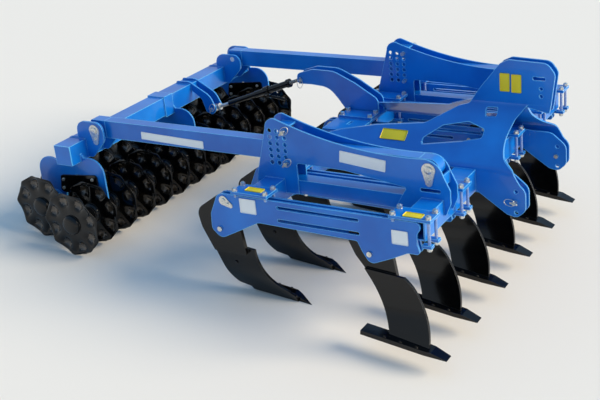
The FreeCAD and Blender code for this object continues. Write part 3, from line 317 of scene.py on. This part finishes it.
def repeat(model, places):
    """Copies a model to each place, joins the copies into one piece and drops the model."""
    copies = []
    for place in places:
        copy = model.copy()
        copy.data = model.data.copy()
        copy.data.transform(place)
        bpy.context.collection.objects.link(copy)
        copies.append(copy)
    bpy.data.objects.remove(model)
    return joined(copies)


def joined(pieces):
    """Joins pieces into one and returns it."""
    bpy.ops.object.select_all(action="DESELECT")
    for piece in pieces:
        piece.select_set(True)
    bpy.context.view_layer.objects.active = pieces[0]
    if len(pieces) > 1:
        bpy.ops.object.join()
    return bpy.context.object


def fix(piece, name, body, material, angle=35):
    """Names a piece modelled in its place, paints it, smooths it where it bends less than an
    angle in degrees, and lets it ride on a body."""
    bpy.ops.object.select_all(action="DESELECT")
    piece.select_set(True)
    bpy.context.view_layer.objects.active = piece
    bpy.ops.object.transform_apply(location=True, rotation=True, scale=True)
    bpy.ops.object.shade_smooth_by_angle(angle=math.radians(angle))
    piece.name = name
    piece.data.name = name
    piece.data.materials.clear()
    piece.data.materials.append(material)
    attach(piece, body)
    return piece


def cylinder(sides, radius, depth, foot=0.0):
    """A cylinder up Z from the height of its foot, open in edit mode."""
    bpy.ops.object.select_all(action="DESELECT")
    bpy.ops.mesh.primitive_cylinder_add(vertices=sides, radius=radius, depth=depth,
                                        location=(0, 0, foot + depth / 2))
    bpy.ops.object.transform_apply(location=True)
    bpy.ops.object.mode_set(mode="EDIT")
    return bpy.context.object


def looks_up(face):
    """Whether a face looks up Z."""
    return face.normal.z > FACING


def hexagon_nut(radius, height, washer):
    """A nut standing on its washer at the origin, with its corners turned off above."""
    nut = cylinder(6, radius, height, washer)
    choose(looks_up, "FACE")
    bpy.ops.mesh.inset(thickness=radius * NUT_CHAMFER, depth=radius * NUT_CHAMFER)
    bpy.ops.mesh.inset(thickness=radius * NUT_FACE)
    bpy.ops.object.mode_set(mode="OBJECT")
    disc = cylinder(16, radius * WASHER_OUT, washer)
    choose(looks_up, "FACE")
    bpy.ops.mesh.inset(thickness=radius * WASHER_EDGE[0], depth=washer * WASHER_EDGE[1])
    bpy.ops.object.mode_set(mode="OBJECT")
    return joined([nut, disc])


def threaded_rod(radius, length, turn):
    """A rod from the origin upwards whose skin goes in and out like a thread."""
    bpy.ops.object.select_all(action="DESELECT")
    bpy.ops.mesh.primitive_circle_add(vertices=10, radius=radius, fill_type="NGON")
    rod = bpy.context.object
    bpy.ops.object.mode_set(mode="EDIT")
    steps = 2 * round(length / turn)
    slack = 1e-5
    for step in range(steps):
        choose(lambda face: face.calc_center_median().z > step * length / steps - slack, "FACE")
        size = THREAD_ROOT if step % 2 == 0 else 1 / THREAD_ROOT
        bpy.ops.mesh.extrude_region_move(
            TRANSFORM_OT_translate={"value": (0, 0, length / steps)})
        bpy.ops.transform.resize(value=(size, size, 1), center_override=(0, 0, 0))
    bpy.ops.mesh.select_all(action="SELECT")
    bpy.ops.mesh.normals_make_consistent(inside=False)
    bpy.ops.object.mode_set(mode="OBJECT")
    return rod


nut_places = []
long_studs = []
short_studs = []
for x in BEAMS_X:
    for y in HOLDERS_Y:
        lift = BASE_PLATE if (x, y) == (BEAMS_X[1], BASE_PLATE_Y) else 0.0
        for sx in (-1, 1):
            for sy in (-1, 1):
                stud = Vector((x + sx * STUD_X, y + sy * STUD_Y, 0))
                nut_places.append(Matrix.Translation(stud + Vector((0, 0, PLATE_TOP + lift))))
                outside = abs(stud.y) > HOLDERS_Y[-1]
                if outside and not (x == BEAMS_X[0] and sx > 0):
                    short_studs.append(Matrix.Translation(stud + Vector((0, 0, SHORT_STUD_LOW))))
                    continue
                long_studs.append(Matrix.Translation(stud + Vector((0, 0, STUD_LOW))))
                under = Matrix.Translation(stud + Vector((0, 0, FOOT_LOW)))
                nut_places.append(under @ UPSIDE_DOWN)
nuts = repeat(hexagon_nut(NUT_RADIUS, NUT_HEIGHT, WASHER), nut_places)
nuts.data.transform(STAND)
fix(nuts, "clamp_nuts", "main_frame", zinc)
studs = joined([repeat(threaded_rod(STUD_RADIUS, STUD_TOP - low, THREAD_TURN), stud_places)
                for low, stud_places in ((STUD_LOW, long_studs), (SHORT_STUD_LOW, short_studs))])
studs.data.transform(STAND)
fix(studs, "clamp_studs", "main_frame", zinc, angle=20)

# ---------------------------------------------------------------------------
# Rollers: two rows of pressed steel discs on a common axle tube each, with eight cups round
# every disc, a waved rim and a domed hub. They are welded up and dipped in black paint. The
# cups are painted in a lighter brown, a painted highlight for the light their tilted faces catch.
# ---------------------------------------------------------------------------
DISCS = (("front_roller", 13), ("rear_roller", 12))
DISC_RADIUS = 0.2515
DISC_PITCH = 0.230
DISC_SHEET = 0.008
DISC_STEPS = 64             # vertices round a disc, eight of them to each of the lobes
LOBES = 8
RIM_WAVE = 0.015
SCALLOP = 0.972             # the rim between two corners, as a share of the radius
RINGS = ((0.028, 0.0), (0.018, 0.030), (0.040, 0.032), (0.024, 0.0))   # inset, cup depth
HUB_SEAT = 0.040            # width of the flat ring round the hub's middle
CUP_PARTS = ((-1, 1.0), (-0.7, 1.0), (0, 0.5))      # lobe, share of the cup's depth
HUB_RADIUS = 0.078
HUB_WALL = 0.024
HUB_RISE = 0.030
HUB_STEPS = ((0.006, 0.45), (0.012, 0.3), (0.016, 0.17), (0.02, 0.08))  # inset, share of rise
AXLE_RADIUS = 0.045
AXLE_OUT = 0.02
AXLE_END = ((0.006, 0.004), (0.018, 0.0), (0.002, 0.009))      # inset, rise
CENTRE_Y = FRONT_PIVOT.y
CUP_FLOOR = 0.010           # sideways depth from which the cups carry the painted highlight
CUP_BAND = (0.135, 0.218)   # and the radii between which they carry it

# Painted highlight of the cups: black paint lightened to brown, with a painted edge highlight as
# its third colour.
cup_highlight_paint = gloss_enamel("black_paint_with_painted_cup_highlight", "#241e18", "#4c4034", "#5a4e40",
                         roughness=0.2, coat=0.6)


def lobe_of(vertex):
    """From 1 to -1 and back, once for each lobe round a disc."""
    return math.cos(LOBES * math.atan2(vertex.co.y, vertex.co.x))


def at_lobe(vertex, lobe):
    """Whether a vertex is at a height of the wave, of which there are only five."""
    return abs(lobe_of(vertex) - lobe) < 0.1


def pressed_disc():
    """A disc across Z at the origin, waved at its rim and cupped inside it."""
    bpy.ops.object.select_all(action="DESELECT")
    bpy.ops.mesh.primitive_circle_add(vertices=DISC_STEPS, radius=DISC_RADIUS, fill_type="NGON")
    disc = bpy.context.object
    bpy.ops.object.mode_set(mode="EDIT")
    bpy.ops.mesh.select_all(action="SELECT")
    radius = DISC_RADIUS
    rings = []
    for inset, depth in RINGS:
        bpy.ops.mesh.inset(thickness=inset)
        radius -= inset
        rings.append((radius, depth))
    bpy.ops.mesh.inset(thickness=HUB_SEAT)
    slack = 0.002
    choose(lambda v: v.co.xy.length > DISC_RADIUS - slack and not at_lobe(v, 1)
           and not at_lobe(v, -1))
    bpy.ops.transform.resize(value=(SCALLOP, SCALLOP, 1), center_override=(0, 0, 0))
    for share in (-1, -0.7, 0.7, 1):
        choose(lambda v: v.co.xy.length > DISC_RADIUS * SCALLOP - slack and at_lobe(v, share))
        bpy.ops.transform.translate(value=(0, 0, -share * RIM_WAVE))
    for radius, depth in rings:
        for lobe, part in CUP_PARTS:
            choose(lambda v: depth and abs(v.co.xy.length - radius) < 3 * slack
                   and at_lobe(v, lobe))
            bpy.ops.transform.translate(value=(0, 0, depth * part))
    bpy.ops.object.mode_set(mode="OBJECT")
    apply_modifier("SOLIDIFY", thickness=DISC_SHEET, offset=0.0)
    apply_modifier("SUBSURF", levels=1, render_levels=1)
    return disc


def hub():
    """A flat-topped dome on both faces of a disc."""
    dome = cylinder(32, HUB_RADIUS, HUB_WALL, -HUB_WALL / 2)
    for way in (1, -1):
        choose(lambda face: face.normal.z * way > FACING, "FACE")
        for inset, share in HUB_STEPS:
            bpy.ops.mesh.inset(thickness=inset, depth=HUB_RISE * share)
    bpy.ops.object.mode_set(mode="OBJECT")
    return dome


def axle_tube(reach):
    """An axle along Z that reaches as far to both sides, with chamfered and capped ends."""
    axle = cylinder(40, AXLE_RADIUS, 2 * reach, -reach)
    choose(lambda face: abs(face.normal.z) > FACING, "FACE")
    for inset, rise in AXLE_END:
        bpy.ops.mesh.inset(thickness=inset, depth=rise, use_individual=True)
    bpy.ops.object.mode_set(mode="OBJECT")
    return axle


for name, count in DISCS:
    across = Vector(JOINTS[name + "_spin"]["pos_m"])
    across.y = CENTRE_Y
    lying = Matrix.Translation(across) @ Matrix.Rotation(-math.pi / 2, 4, "X")
    half = (count - 1) / 2
    places = [lying @ Matrix.Translation((0, 0, (i - half) * DISC_PITCH)) for i in range(count)]
    discs = repeat(joined([pressed_disc(), hub()]), places)
    axle = axle_tube(half * DISC_PITCH + AXLE_OUT)
    axle.data.transform(lying)
    roller = fix(joined([discs, axle]), "pressed_" + name, name + "_body", black_paint,
                 angle=40)
    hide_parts(name)
    roller.data.materials.append(cup_highlight_paint)
    first = CENTRE_Y - half * DISC_PITCH
    # Faces inside the cups get the paint with the painted highlight.
    for face in roller.data.polygons:
        off = (face.center.y - first + DISC_PITCH / 2) % DISC_PITCH - DISC_PITCH / 2
        out = math.hypot(face.center.x - across.x, face.center.z - across.z)
        face.material_index = int(off > CUP_FLOOR and CUP_BAND[0] < out < CUP_BAND[1])

# ---------------------------------------------------------------------------
# Pivot pins: on each keeper plate the pin's end shows as a turned, chamfered dome, and a small
# hexagon bolt near the keeper's tip stops the pin from turning. Both are zinc plated.
# ---------------------------------------------------------------------------
CARRIER_FACE = 0.988
LUG_FACE = 1.023
ARM_PINS_X = (-0.265, -2.94)
ARM_PINS_Z = 1.065
TINE_PIN = (-1.640, 0.796)
TINE_KEEPER_OUT = 0.037
ARM_KEEPER_TIP = (0, -0.062)            # from the pin to the bolt
TINE_KEEPER_TIP = (0.034, -0.0195)
ARM_DOME = (0.026, 0.006)               # radius, height
TINE_DOME = (0.018, 0.005)
DOME_STEPS = ((0.14, 0.4), (0.5, 0.0), (0.1, -0.4))     # inset and rise, as shares of the two
KEEPER_BOLT = (0.0105, 0.007, 0.002)    # radius, height, washer
SIDEWAYS = {1: Matrix.Rotation(math.radians(-90), 4, "X"),      # local Z to +Y
            -1: Matrix.Rotation(math.radians(90), 4, "X")}      # local Z to -Y


def turned_dome(radius, height):
    """The chamfered end of a turned pin, standing on the origin, with a shallow centre mark."""
    dome = cylinder(28, radius, height)
    choose(looks_up, "FACE")
    for inset, rise in DOME_STEPS:
        bpy.ops.mesh.inset(thickness=radius * inset, depth=height * rise)
    bpy.ops.object.mode_set(mode="OBJECT")
    return dome


def keeper_places(x, z, faces, tip):
    """Places of the domes and of the bolts on keepers whose faces lie at the given Y."""
    domes = [Matrix.Translation((x, y, z)) @ SIDEWAYS[side] for y, side in faces]
    bolts = [Matrix.Translation((tip[0], 0, tip[1])) @ dome for dome in domes]
    return domes, bolts


carrier_faces = [(side * CARRIER_FACE, side) for side in (-1, 1)]
lug_faces = [(side * LUG_FACE, side) for side in (-1, 1)]
holder_faces = [(y - TINE_KEEPER_OUT, -1) for y in HOLDERS_Y]
arm_domes, arm_bolts = keeper_places(ARM_PINS_X[0], ARM_PINS_Z, carrier_faces, ARM_KEEPER_TIP)
tine_domes, tine_bolts = keeper_places(*TINE_PIN, holder_faces, TINE_KEEPER_TIP)
rear_domes, rear_bolts = keeper_places(ARM_PINS_X[1], ARM_PINS_Z, lug_faces, ARM_KEEPER_TIP)
frame_keepers = joined([repeat(turned_dome(*ARM_DOME), arm_domes),
                        repeat(turned_dome(*TINE_DOME), tine_domes),
                        repeat(hexagon_nut(*KEEPER_BOLT), arm_bolts + tine_bolts)])
frame_keepers.data.transform(STAND)
fix(frame_keepers, "frame_keeper_bolts", "main_frame", zinc)
rear_keepers = joined([repeat(turned_dome(*ARM_DOME), rear_domes),
                       repeat(hexagon_nut(*KEEPER_BOLT), rear_bolts)])
rear_keepers.data.transform(STAND)
fix(rear_keepers, "rear_keeper_bolts", "roller_frame", zinc)

# ---------------------------------------------------------------------------
# Linch pins: a sprung wire ring hinged on a short pin goes through the outer end of each depth
# pin, each lower-link pin and both of the adjuster's pins. It is zinc-plated spring steel.
# ---------------------------------------------------------------------------
WIRE = 0.003
RING = (0.040, 0.024)       # half length and half width
RING_NECK = 0.55            # from here the ring narrows towards its pin, as a share of the length
RING_SQUEEZE = 0.35
RING_PIN = 0.6 * RING[0]    # from the ring's middle to its pin
STEM_RADIUS = 0.005
STEM_LENGTH = 0.050
STEM_END = (0.0015, 0.002)  # inset, rise
DAYLIGHT = 0.001            # between a ring's middle and the end of its pin
DEPTH_PINS = ((-1.302, 0.9835), (-1.302, 1.2085))
DEPTH_PIN_END = 1.006
LINK_PIN = (0.095, 0.675)
LINK_PIN_END = 0.488
ADJUSTER_Y = 0.380
ADJUSTER_TOP = Vector((-1.948, ADJUSTER_Y, 1.107))
ADJUSTER_FOOT = Vector((-2.860, ADJUSTER_Y, 0.775))
UPPER_PIN_HALF = 0.062
LOWER_PIN_HALF = 0.060


def linch_pin():
    """A wire ring in XY beside its pin, which lies along X."""
    bpy.ops.object.select_all(action="DESELECT")
    bpy.ops.mesh.primitive_torus_add(major_radius=RING[0], minor_radius=WIRE,
                                     major_segments=28, minor_segments=8)
    ring = bpy.context.object
    bpy.ops.object.mode_set(mode="EDIT")
    choose(lambda v: True)
    bpy.ops.transform.resize(value=(1, RING[1] / RING[0], 1))
    neck = -RING[0] * RING_NECK
    choose(lambda v: v.co.x < neck)
    bpy.ops.transform.resize(value=(RING_SQUEEZE, 1, 1), center_override=(neck, 0, 0))
    bpy.ops.object.mode_set(mode="OBJECT")
    bpy.ops.object.select_all(action="DESELECT")
    bpy.ops.mesh.primitive_cylinder_add(vertices=14, radius=STEM_RADIUS, depth=STEM_LENGTH,
                                        rotation=(0, math.pi / 2, 0))
    stem = bpy.context.object
    bpy.ops.object.transform_apply(rotation=True)
    bpy.ops.object.mode_set(mode="EDIT")
    choose(lambda face: abs(face.normal.x) > FACING, "FACE")
    bpy.ops.mesh.inset(thickness=STEM_END[0], depth=STEM_END[1], use_individual=True)
    bpy.ops.object.mode_set(mode="OBJECT")
    stem.data.transform(Matrix.Translation((-RING_PIN, 0, 0)))
    return joined([ring, stem])


def ring_place(x, y, z, side, turn):
    """Where a ring hangs beside a pin's end, turned about it by an angle in degrees."""
    return (Matrix.Translation((x, y + side * DAYLIGHT, z)) @ SIDEWAYS[side]
            @ Matrix.Rotation(math.radians(turn), 4, "Z")
            @ Matrix.Translation((RING_PIN, 0, 0)))


ring_places = []
for side in (-1, 1):
    for x, z in DEPTH_PINS:
        ring_places.append(ring_place(x, side * DEPTH_PIN_END, z, side, -40 * side))
    ring_places.append(ring_place(LINK_PIN[0], side * LINK_PIN_END, LINK_PIN[1], side, 170))
ring_places.append(ring_place(ADJUSTER_TOP.x, ADJUSTER_Y - UPPER_PIN_HALF, ADJUSTER_TOP.z,
                              -1, -100))
rings = repeat(linch_pin(), ring_places)
rings.data.transform(STAND)
fix(rings, "linch_pins", "main_frame", zinc, angle=60)
lower_ring = linch_pin()
lower_ring.data.transform(STAND @ ring_place(ADJUSTER_FOOT.x, ADJUSTER_Y - LOWER_PIN_HALF,
                                             ADJUSTER_FOOT.z, -1, 60))
fix(lower_ring, "lower_adjuster_linch_pin", "roller_frame", zinc, angle=60)

# ---------------------------------------------------------------------------
# Label plates: thin white and yellow vinyl, stuck on the painted plates with its corners
# rounded. All of them are blank.
# ---------------------------------------------------------------------------
LABEL_THICK = 0.0012
LABEL_CORNER = 0.006
LABEL_EDGE = (0.002, 0.0002)            # width of the softened edge, and how far it rises
DENTS_PER_METRE = 30.0
VINYL_DENTS = {"Strength": 0.1, "Distance": 0.001}
VINYL_ROUGHNESS = 0.35


def plain_vinyl(name, colour):
    """Vinyl of one colour with a satin laminate, not quite flat on its plate."""
    vinyl, tree, shader = new_finish(name)
    place = node(tree, "ShaderNodeTexCoord")
    dents = node(tree, "ShaderNodeTexNoise", links={"Vector": place.outputs["Object"]},
                 Scale=DENTS_PER_METRE, Detail=3.0)
    lift = node(tree, "ShaderNodeBump", links={"Height": dents.outputs["Fac"]}, **VINYL_DENTS)
    tree.links.new(lift.outputs["Normal"], shader.inputs["Normal"])
    shader.inputs["Base Color"].default_value = linear(colour)
    shader.inputs["Roughness"].default_value = VINYL_ROUGHNESS
    return vinyl


def lie_on(name, point, direction, turn=0.0):
    """Where a ray from a level point meets a CAD node, with Z out of its skin and X forward."""
    piece = frame["nodes"][name]
    back = piece.matrix_world.inverted()
    way = STAND.to_3x3() @ Vector(direction)
    hit, spot, normal, _ = piece.ray_cast(back @ (STAND @ Vector(point)), back.to_3x3() @ way)
    if not hit:
        raise ValueError("nothing under " + name + " at " + str(point))
    out = (piece.matrix_world.to_3x3() @ normal).normalized()
    forward = STAND.to_3x3() @ Vector((1, 0, 0))
    forward = (forward - out * forward.dot(out)).normalized()
    axes = Matrix((forward, out.cross(forward), out)).transposed().to_4x4()
    spot = piece.matrix_world @ spot
    return Matrix.Translation(spot) @ axes @ Matrix.Rotation(turn, 4, "Z")


def label(width, height):
    """A thin plate with rounded corners and a softened edge, standing on the origin."""
    bpy.ops.object.select_all(action="DESELECT")
    bpy.ops.mesh.primitive_cube_add(size=1.0, scale=(width, height, LABEL_THICK),
                                    location=(0, 0, LABEL_THICK / 2))
    bpy.ops.object.transform_apply(location=True, scale=True)
    bpy.ops.object.mode_set(mode="EDIT")
    choose(lambda e: abs(e.verts[0].co.z - e.verts[1].co.z) > LABEL_THICK / 2, "EDGE")
    bpy.ops.mesh.bevel(offset=LABEL_CORNER, segments=4)
    choose(looks_up, "FACE")
    bpy.ops.mesh.inset(thickness=LABEL_EDGE[0], depth=LABEL_EDGE[1])
    bpy.ops.object.mode_set(mode="OBJECT")
    return bpy.context.object


# Each row: the node, a level point that sees it, the label's width and height, and its turn.
WHITE_LABELS = (("holder_1", (-1.446, -2, 0.779), 0.126, 0.105, 0.0),
                ("holder_1", (-0.338, -2, 0.727), 0.110, 0.096, 0.0),
                ("arm_carrier_right", (-0.725, -2, 1.070), 0.330, 0.080, -0.10))
ARM_LABEL = ("arm_right", (-2.262, -2, 1.045), 0.548, 0.056, -0.03)
TOWER_LABELS = (("headstock_right", (-0.118, -0.6, 1.345), 0.068, 0.126, 0.0),
                ("headstock_right", (-0.037, -0.6, 1.341), 0.068, 0.126, 0.0))
TOP_LABELS = (("front_clamps", (-0.2395, -1.278, 2), 0.122, 0.062, 0.0),
              ("rear_clamps", (-1.3965, -1.250, 2), 0.126, 0.058, 0.0),
              ("headstock_right", (-0.832, -0.308, 2), 0.190, 0.085, 0.0))

white_vinyl = plain_vinyl("white_vinyl", "#e9eef0")
yellow_vinyl = plain_vinyl("yellow_vinyl", "#e6d21e")
for name, body, vinyl, slot, direction, labels in (
        ("white_labels_of_frame", "main_frame", white_vinyl, "blue", (0, 1, 0), WHITE_LABELS),
        ("white_label_of_arm", "roller_arms", white_vinyl, "blue", (0, 1, 0), (ARM_LABEL,)),
        ("yellow_labels_of_tower", "main_frame", yellow_vinyl, "blue", (0, 1, 0), TOWER_LABELS),
        ("yellow_labels_on_top", "main_frame", yellow_vinyl, "blue", (0, 0, -1), TOP_LABELS)):
    plates = []
    for on, point, width, high, turn in labels:
        plates.append(label(width, high))
        plates[-1].data.transform(lie_on(on, point, direction, turn))
    fix(joined(plates), name, body, vinyl)

# ---------------------------------------------------------------------------
# Weld beads of the frame: the rippled fillets that join its plates to the beams, laid in short
# runs. They are painted over with it.
# ---------------------------------------------------------------------------
BEAD = 0.05                 # metres of bead in one modelled run
BEAD_HALF = 0.0055
RIPPLES = 5
RIPPLE_STEP = BEAD / RIPPLES / 2
RIPPLE_DIP = 0.8            # thickness between two ripples, as a share of theirs
BEAM_HALF = 0.075
BEAM_TOP = 0.870
CARRIER_SIDES = (0.860, 0.980)
RAIL_SIDES = (0.870, 0.970)
RAIL_BEAD = 0.1             # length of the upright bead where a rail meets a beam
ABOVE = 0.001               # how far a bead's middle stands above a beam,
BESIDE = 0.002              # and how far beside a plate


def bead():
    """A rippled round run of weld along X from the origin."""
    bpy.ops.object.select_all(action="DESELECT")
    bpy.ops.mesh.primitive_cylinder_add(vertices=10, radius=BEAD_HALF, depth=RIPPLE_STEP,
                                        end_fill_type="NGON", rotation=(0, math.pi / 2, 0),
                                        location=(RIPPLE_STEP / 2, 0, 0))
    run = bpy.context.object
    bpy.ops.object.transform_apply(location=True, rotation=True)
    bpy.ops.object.mode_set(mode="EDIT")
    slack = 1e-4
    for step in range(1, 2 * RIPPLES):
        end = step * BEAD / RIPPLES / 2
        size = RIPPLE_DIP if step % 2 else 1 / RIPPLE_DIP
        choose(lambda face: face.normal.x > FACING
               and face.calc_center_median().x > end - slack, "FACE")
        bpy.ops.mesh.extrude_region_move(TRANSFORM_OT_translate={"value": (RIPPLE_STEP, 0, 0)})
        bpy.ops.transform.resize(value=(1, size, size), center_override=(end, 0, 0))
    bpy.ops.object.mode_set(mode="OBJECT")
    return run


def seam(start, end):
    """Places of bead runs from one level point to another."""
    start, end = Vector(start), Vector(end)
    way = end - start
    turn = way.to_track_quat("X", "Z").to_matrix().to_4x4()
    count = round(way.length / BEAD)
    stretch = Matrix.Diagonal((way.length / BEAD / count, 1, 1, 1))
    return [Matrix.Translation(start + way * i / count) @ turn @ stretch for i in range(count)]


seams = []
for side in (-1, 1):
    for beam in BEAMS_X:
        for y, out in zip(CARRIER_SIDES, (-1, 1)):
            along = side * (y + out * BESIDE)
            seams += seam((beam - BEAM_HALF, along, BEAM_TOP + ABOVE),
                          (beam + BEAM_HALF, along, BEAM_TOP + ABOVE))
    for x in (BEAMS_X[0] - BEAM_HALF - ABOVE, BEAMS_X[1] + BEAM_HALF + ABOVE):
        seams += seam((x, side * (RAIL_SIDES[1] + ABOVE), BEAM_TOP - RAIL_BEAD),
                      (x, side * (RAIL_SIDES[1] + ABOVE), BEAM_TOP))
        seams += seam((x, side * RAIL_SIDES[0], BEAM_TOP), (x, side * RAIL_SIDES[1], BEAM_TOP))
beads = repeat(bead(), seams)
beads.data.transform(STAND)
fix(beads, "frame_weld_beads", "main_frame", blue_enamel, angle=60)

# ---------------------------------------------------------------------------
# Weld beads of the roller frame: beside the lugs' plates, round the collar in the beam's middle
# and on both sides of the right hanger. The left hanger closes the beam's end and shows none.
# ---------------------------------------------------------------------------
ROLLER_BEAM_X = (-3.195, -3.045)
ROLLER_BEAM_Z = (0.840, 0.990)
COLLAR = 0.055
LUG_PLATES = ((1.000, 1.015), (0.825, 0.840))
HANGERS_Y = (-1.0925, 0.0575, 1.2075)
BESIDE_HANGER = 0.007
HANGER_BEAD = 0.06

seams = []
for side in (-1, 1):
    for inner, outer in LUG_PLATES:
        for y in (inner - BESIDE, outer + BESIDE):
            seams += seam((ROLLER_BEAM_X[0], side * y, ROLLER_BEAM_Z[1]),
                          (ROLLER_BEAM_X[1], side * y, ROLLER_BEAM_Z[1]))
    beside_collar = side * (COLLAR + BESIDE)
    for x in ROLLER_BEAM_X:
        seams += seam((x, beside_collar, ROLLER_BEAM_Z[0]), (x, beside_collar, ROLLER_BEAM_Z[1]))
    seams += seam((ROLLER_BEAM_X[0], beside_collar, ROLLER_BEAM_Z[1]),
                  (ROLLER_BEAM_X[1], beside_collar, ROLLER_BEAM_Z[1]))
for y in (HANGERS_Y[0] - BESIDE_HANGER, HANGERS_Y[0] + BESIDE_HANGER):
    for x in ROLLER_BEAM_X:
        seams += seam((x, y, ROLLER_BEAM_Z[0]), (x, y, ROLLER_BEAM_Z[0] + HANGER_BEAD))
beads = repeat(bead(), seams)
beads.data.transform(STAND)
fix(beads, "roller_frame_weld_beads", "roller_frame", blue_enamel, angle=60)

# ---------------------------------------------------------------------------
# Wear parts: low-headed plough bolts hold every point to its tine's foot, and two bolts with a
# round head on both sides hold the shin on each rear blade. They are painted with the tines.
# ---------------------------------------------------------------------------
FRONT_BOLTS = (-0.20, -0.31, -0.42)
REAR_TIP_X = -1.14
REAR_BOLTS = (REAR_TIP_X - 0.20, REAR_TIP_X - 0.30)
BOLT_ROW = 0.034            # from a point's middle to its rows of bolts
PLOUGH_HEAD = (0.010, 0.004)            # radius, height
SHIN_BOLTS = ((-1.659, 0.382), (-1.639, 0.307))
SHIN_HEAD = (0.013, 0.006)
SHIN_REACH = 0.6            # far enough beside a blade to be outside its bend


def centres(name):
    """The middle Y of a row's points, one for each holder, on the level machine."""
    piece = frame["nodes"][name]
    back = STAND.inverted() @ piece.matrix_world
    sides = {y: [] for y in HOLDERS_Y}
    for vertex in piece.data.vertices:
        y = (back @ vertex.co).y
        sides[min(HOLDERS_Y, key=lambda at: abs(at - y))].append(y)
    return [(min(found) + max(found)) / 2 for found in sides.values() if found]


places = []
for name, bolts in (("front_points", FRONT_BOLTS), ("rear_points", REAR_BOLTS)):
    for middle in centres(name):
        for x in bolts:
            for side in (-1, 1):
                places.append(lie_on(name, (x, middle + side * BOLT_ROW, 1), (0, 0, -1)))
heads = repeat(turned_dome(*PLOUGH_HEAD), places)
fix(heads, "plough_bolts", "main_frame", black_paint)

places = []
for i, y in enumerate(HOLDERS_Y):
    for x, z in SHIN_BOLTS:
        for side in (-1, 1):
            places.append(lie_on("rear_tine_" + str(i + 1), (x, y + side * SHIN_REACH, z),
                                 (0, -side, 0)))
heads = repeat(turned_dome(*SHIN_HEAD), places)
fix(heads, "shin_bolts", "main_frame", black_paint)

# ---------------------------------------------------------------------------
# Roller hangers: four small hexagon screws close each side of a bearing housing, and four larger
# ones hold each black end plate. The housings' screws are painted over, the others plated.
# ---------------------------------------------------------------------------
HOUSING_HALF = 0.018
HOUSING_SCREWS = 0.062      # from the axle to the screws round it
HOUSING_SCREW = (0.007, 0.005, 0.0015)                      # radius, height, washer
END_PLATE_SCREWS = ((-0.075, 0.675), (-0.085, 0.605), (0.215, 0.705), (0.190, 0.625))
END_PLATE_SCREW = (0.012, 0.009, 0.0025)
OUTSIDE = 0.1               # how far to the right of a hanger the rays to its plate start
AXLES = [STAND.inverted() @ Vector(JOINTS[name + "_spin"]["pos_m"])
         for name in ("front_roller", "rear_roller")]

places = []
for y in HANGERS_Y:
    for axle in AXLES:
        for side in (-1, 1):
            for quarter in range(4):
                angle = math.radians(45 + 90 * quarter)
                places.append(Matrix.Translation((axle.x + HOUSING_SCREWS * math.cos(angle),
                                                  y + side * HOUSING_HALF,
                                                  axle.z + HOUSING_SCREWS * math.sin(angle)))
                              @ SIDEWAYS[side])
screws = repeat(hexagon_nut(*HOUSING_SCREW), places)
screws.data.transform(STAND)
fix(screws, "housing_screws", "roller_frame", blue_enamel)

middle = (AXLES[0].x + AXLES[1].x) / 2
places = [lie_on("roller_end_plates", (middle + x, y - OUTSIDE, z), (0, 1, 0))
          for y in (HANGERS_Y[0], HANGERS_Y[-1]) for x, z in END_PLATE_SCREWS]
screws = repeat(hexagon_nut(*END_PLATE_SCREW), places)
fix(screws, "end_plate_screws", "roller_frame", zinc)

# ---------------------------------------------------------------------------
# Adjuster: rolled threads show where the screwed eye leaves the sleeve and at the neck of the
# upper eye. A plated lock nut runs on the lower one, and a grease nipple stands on the barrel.
# ---------------------------------------------------------------------------
THREAD_RADIUS = 0.0148
NECK_THREAD = (0.034, 0.140)            # from the upper pin, along the adjuster
ROD_THREAD = (0.826, 0.932)
LOCK_NUT_AT = 0.905
LOCK_NUT = (0.026, 0.018, 0.003)        # radius, height, washer
GREASE_AT = 0.300
BARREL_RADIUS = 0.027
NIPPLE_RADIUS = 0.005
NIPPLE_HEAD = 0.014                     # heights over the barrel
NIPPLE_NECK = 0.0115
NIPPLE_SHANK = 0.0095
NIPPLE_DROP = 0.011                     # how far the shank reaches down, into the barrel
NIPPLE_WAIST = 0.6                      # width below the head, as a share of the head's

down = (ADJUSTER_FOOT - ADJUSTER_TOP).to_track_quat("Z", "Y").to_matrix().to_4x4()
lie_along = STAND @ Matrix.Translation(ADJUSTER_TOP) @ down
for name, body, slot, (start, end) in (("neck_thread", "adjuster_barrel", "black", NECK_THREAD),
                                       ("rod_thread", "adjuster_screw", "screw", ROD_THREAD)):
    thread = threaded_rod(THREAD_RADIUS, end - start, THREAD_TURN)
    thread.data.transform(lie_along @ Matrix.Translation((0, 0, start)))
    fix(thread, name, body, zinc, angle=20)
nut = hexagon_nut(*LOCK_NUT)
nut.data.transform(lie_along @ Matrix.Translation((0, 0, LOCK_NUT_AT)))
fix(nut, "rod_lock_nut", "adjuster_screw", zinc)

bpy.ops.object.select_all(action="DESELECT")
bpy.ops.mesh.primitive_uv_sphere_add(segments=16, ring_count=10, radius=NIPPLE_RADIUS,
                                     location=(0, 0, NIPPLE_HEAD))
bpy.ops.object.transform_apply(location=True)
nipple = bpy.context.object
bpy.ops.object.mode_set(mode="EDIT")
choose(lambda v: v.co.z < NIPPLE_NECK)
bpy.ops.transform.resize(value=(NIPPLE_WAIST, NIPPLE_WAIST, 1))
choose(lambda v: v.co.z < NIPPLE_SHANK)
bpy.ops.transform.translate(value=(0, 0, -NIPPLE_DROP))
bpy.ops.object.mode_set(mode="OBJECT")
nipple.data.transform(lie_along @ Matrix.Translation((0, 0, GREASE_AT))
                      @ Matrix.Rotation(math.pi / 2, 4, "X")
                      @ Matrix.Translation((0, 0, BARREL_RADIUS)))
fix(nipple, "grease_nipple", "adjuster_barrel", zinc)
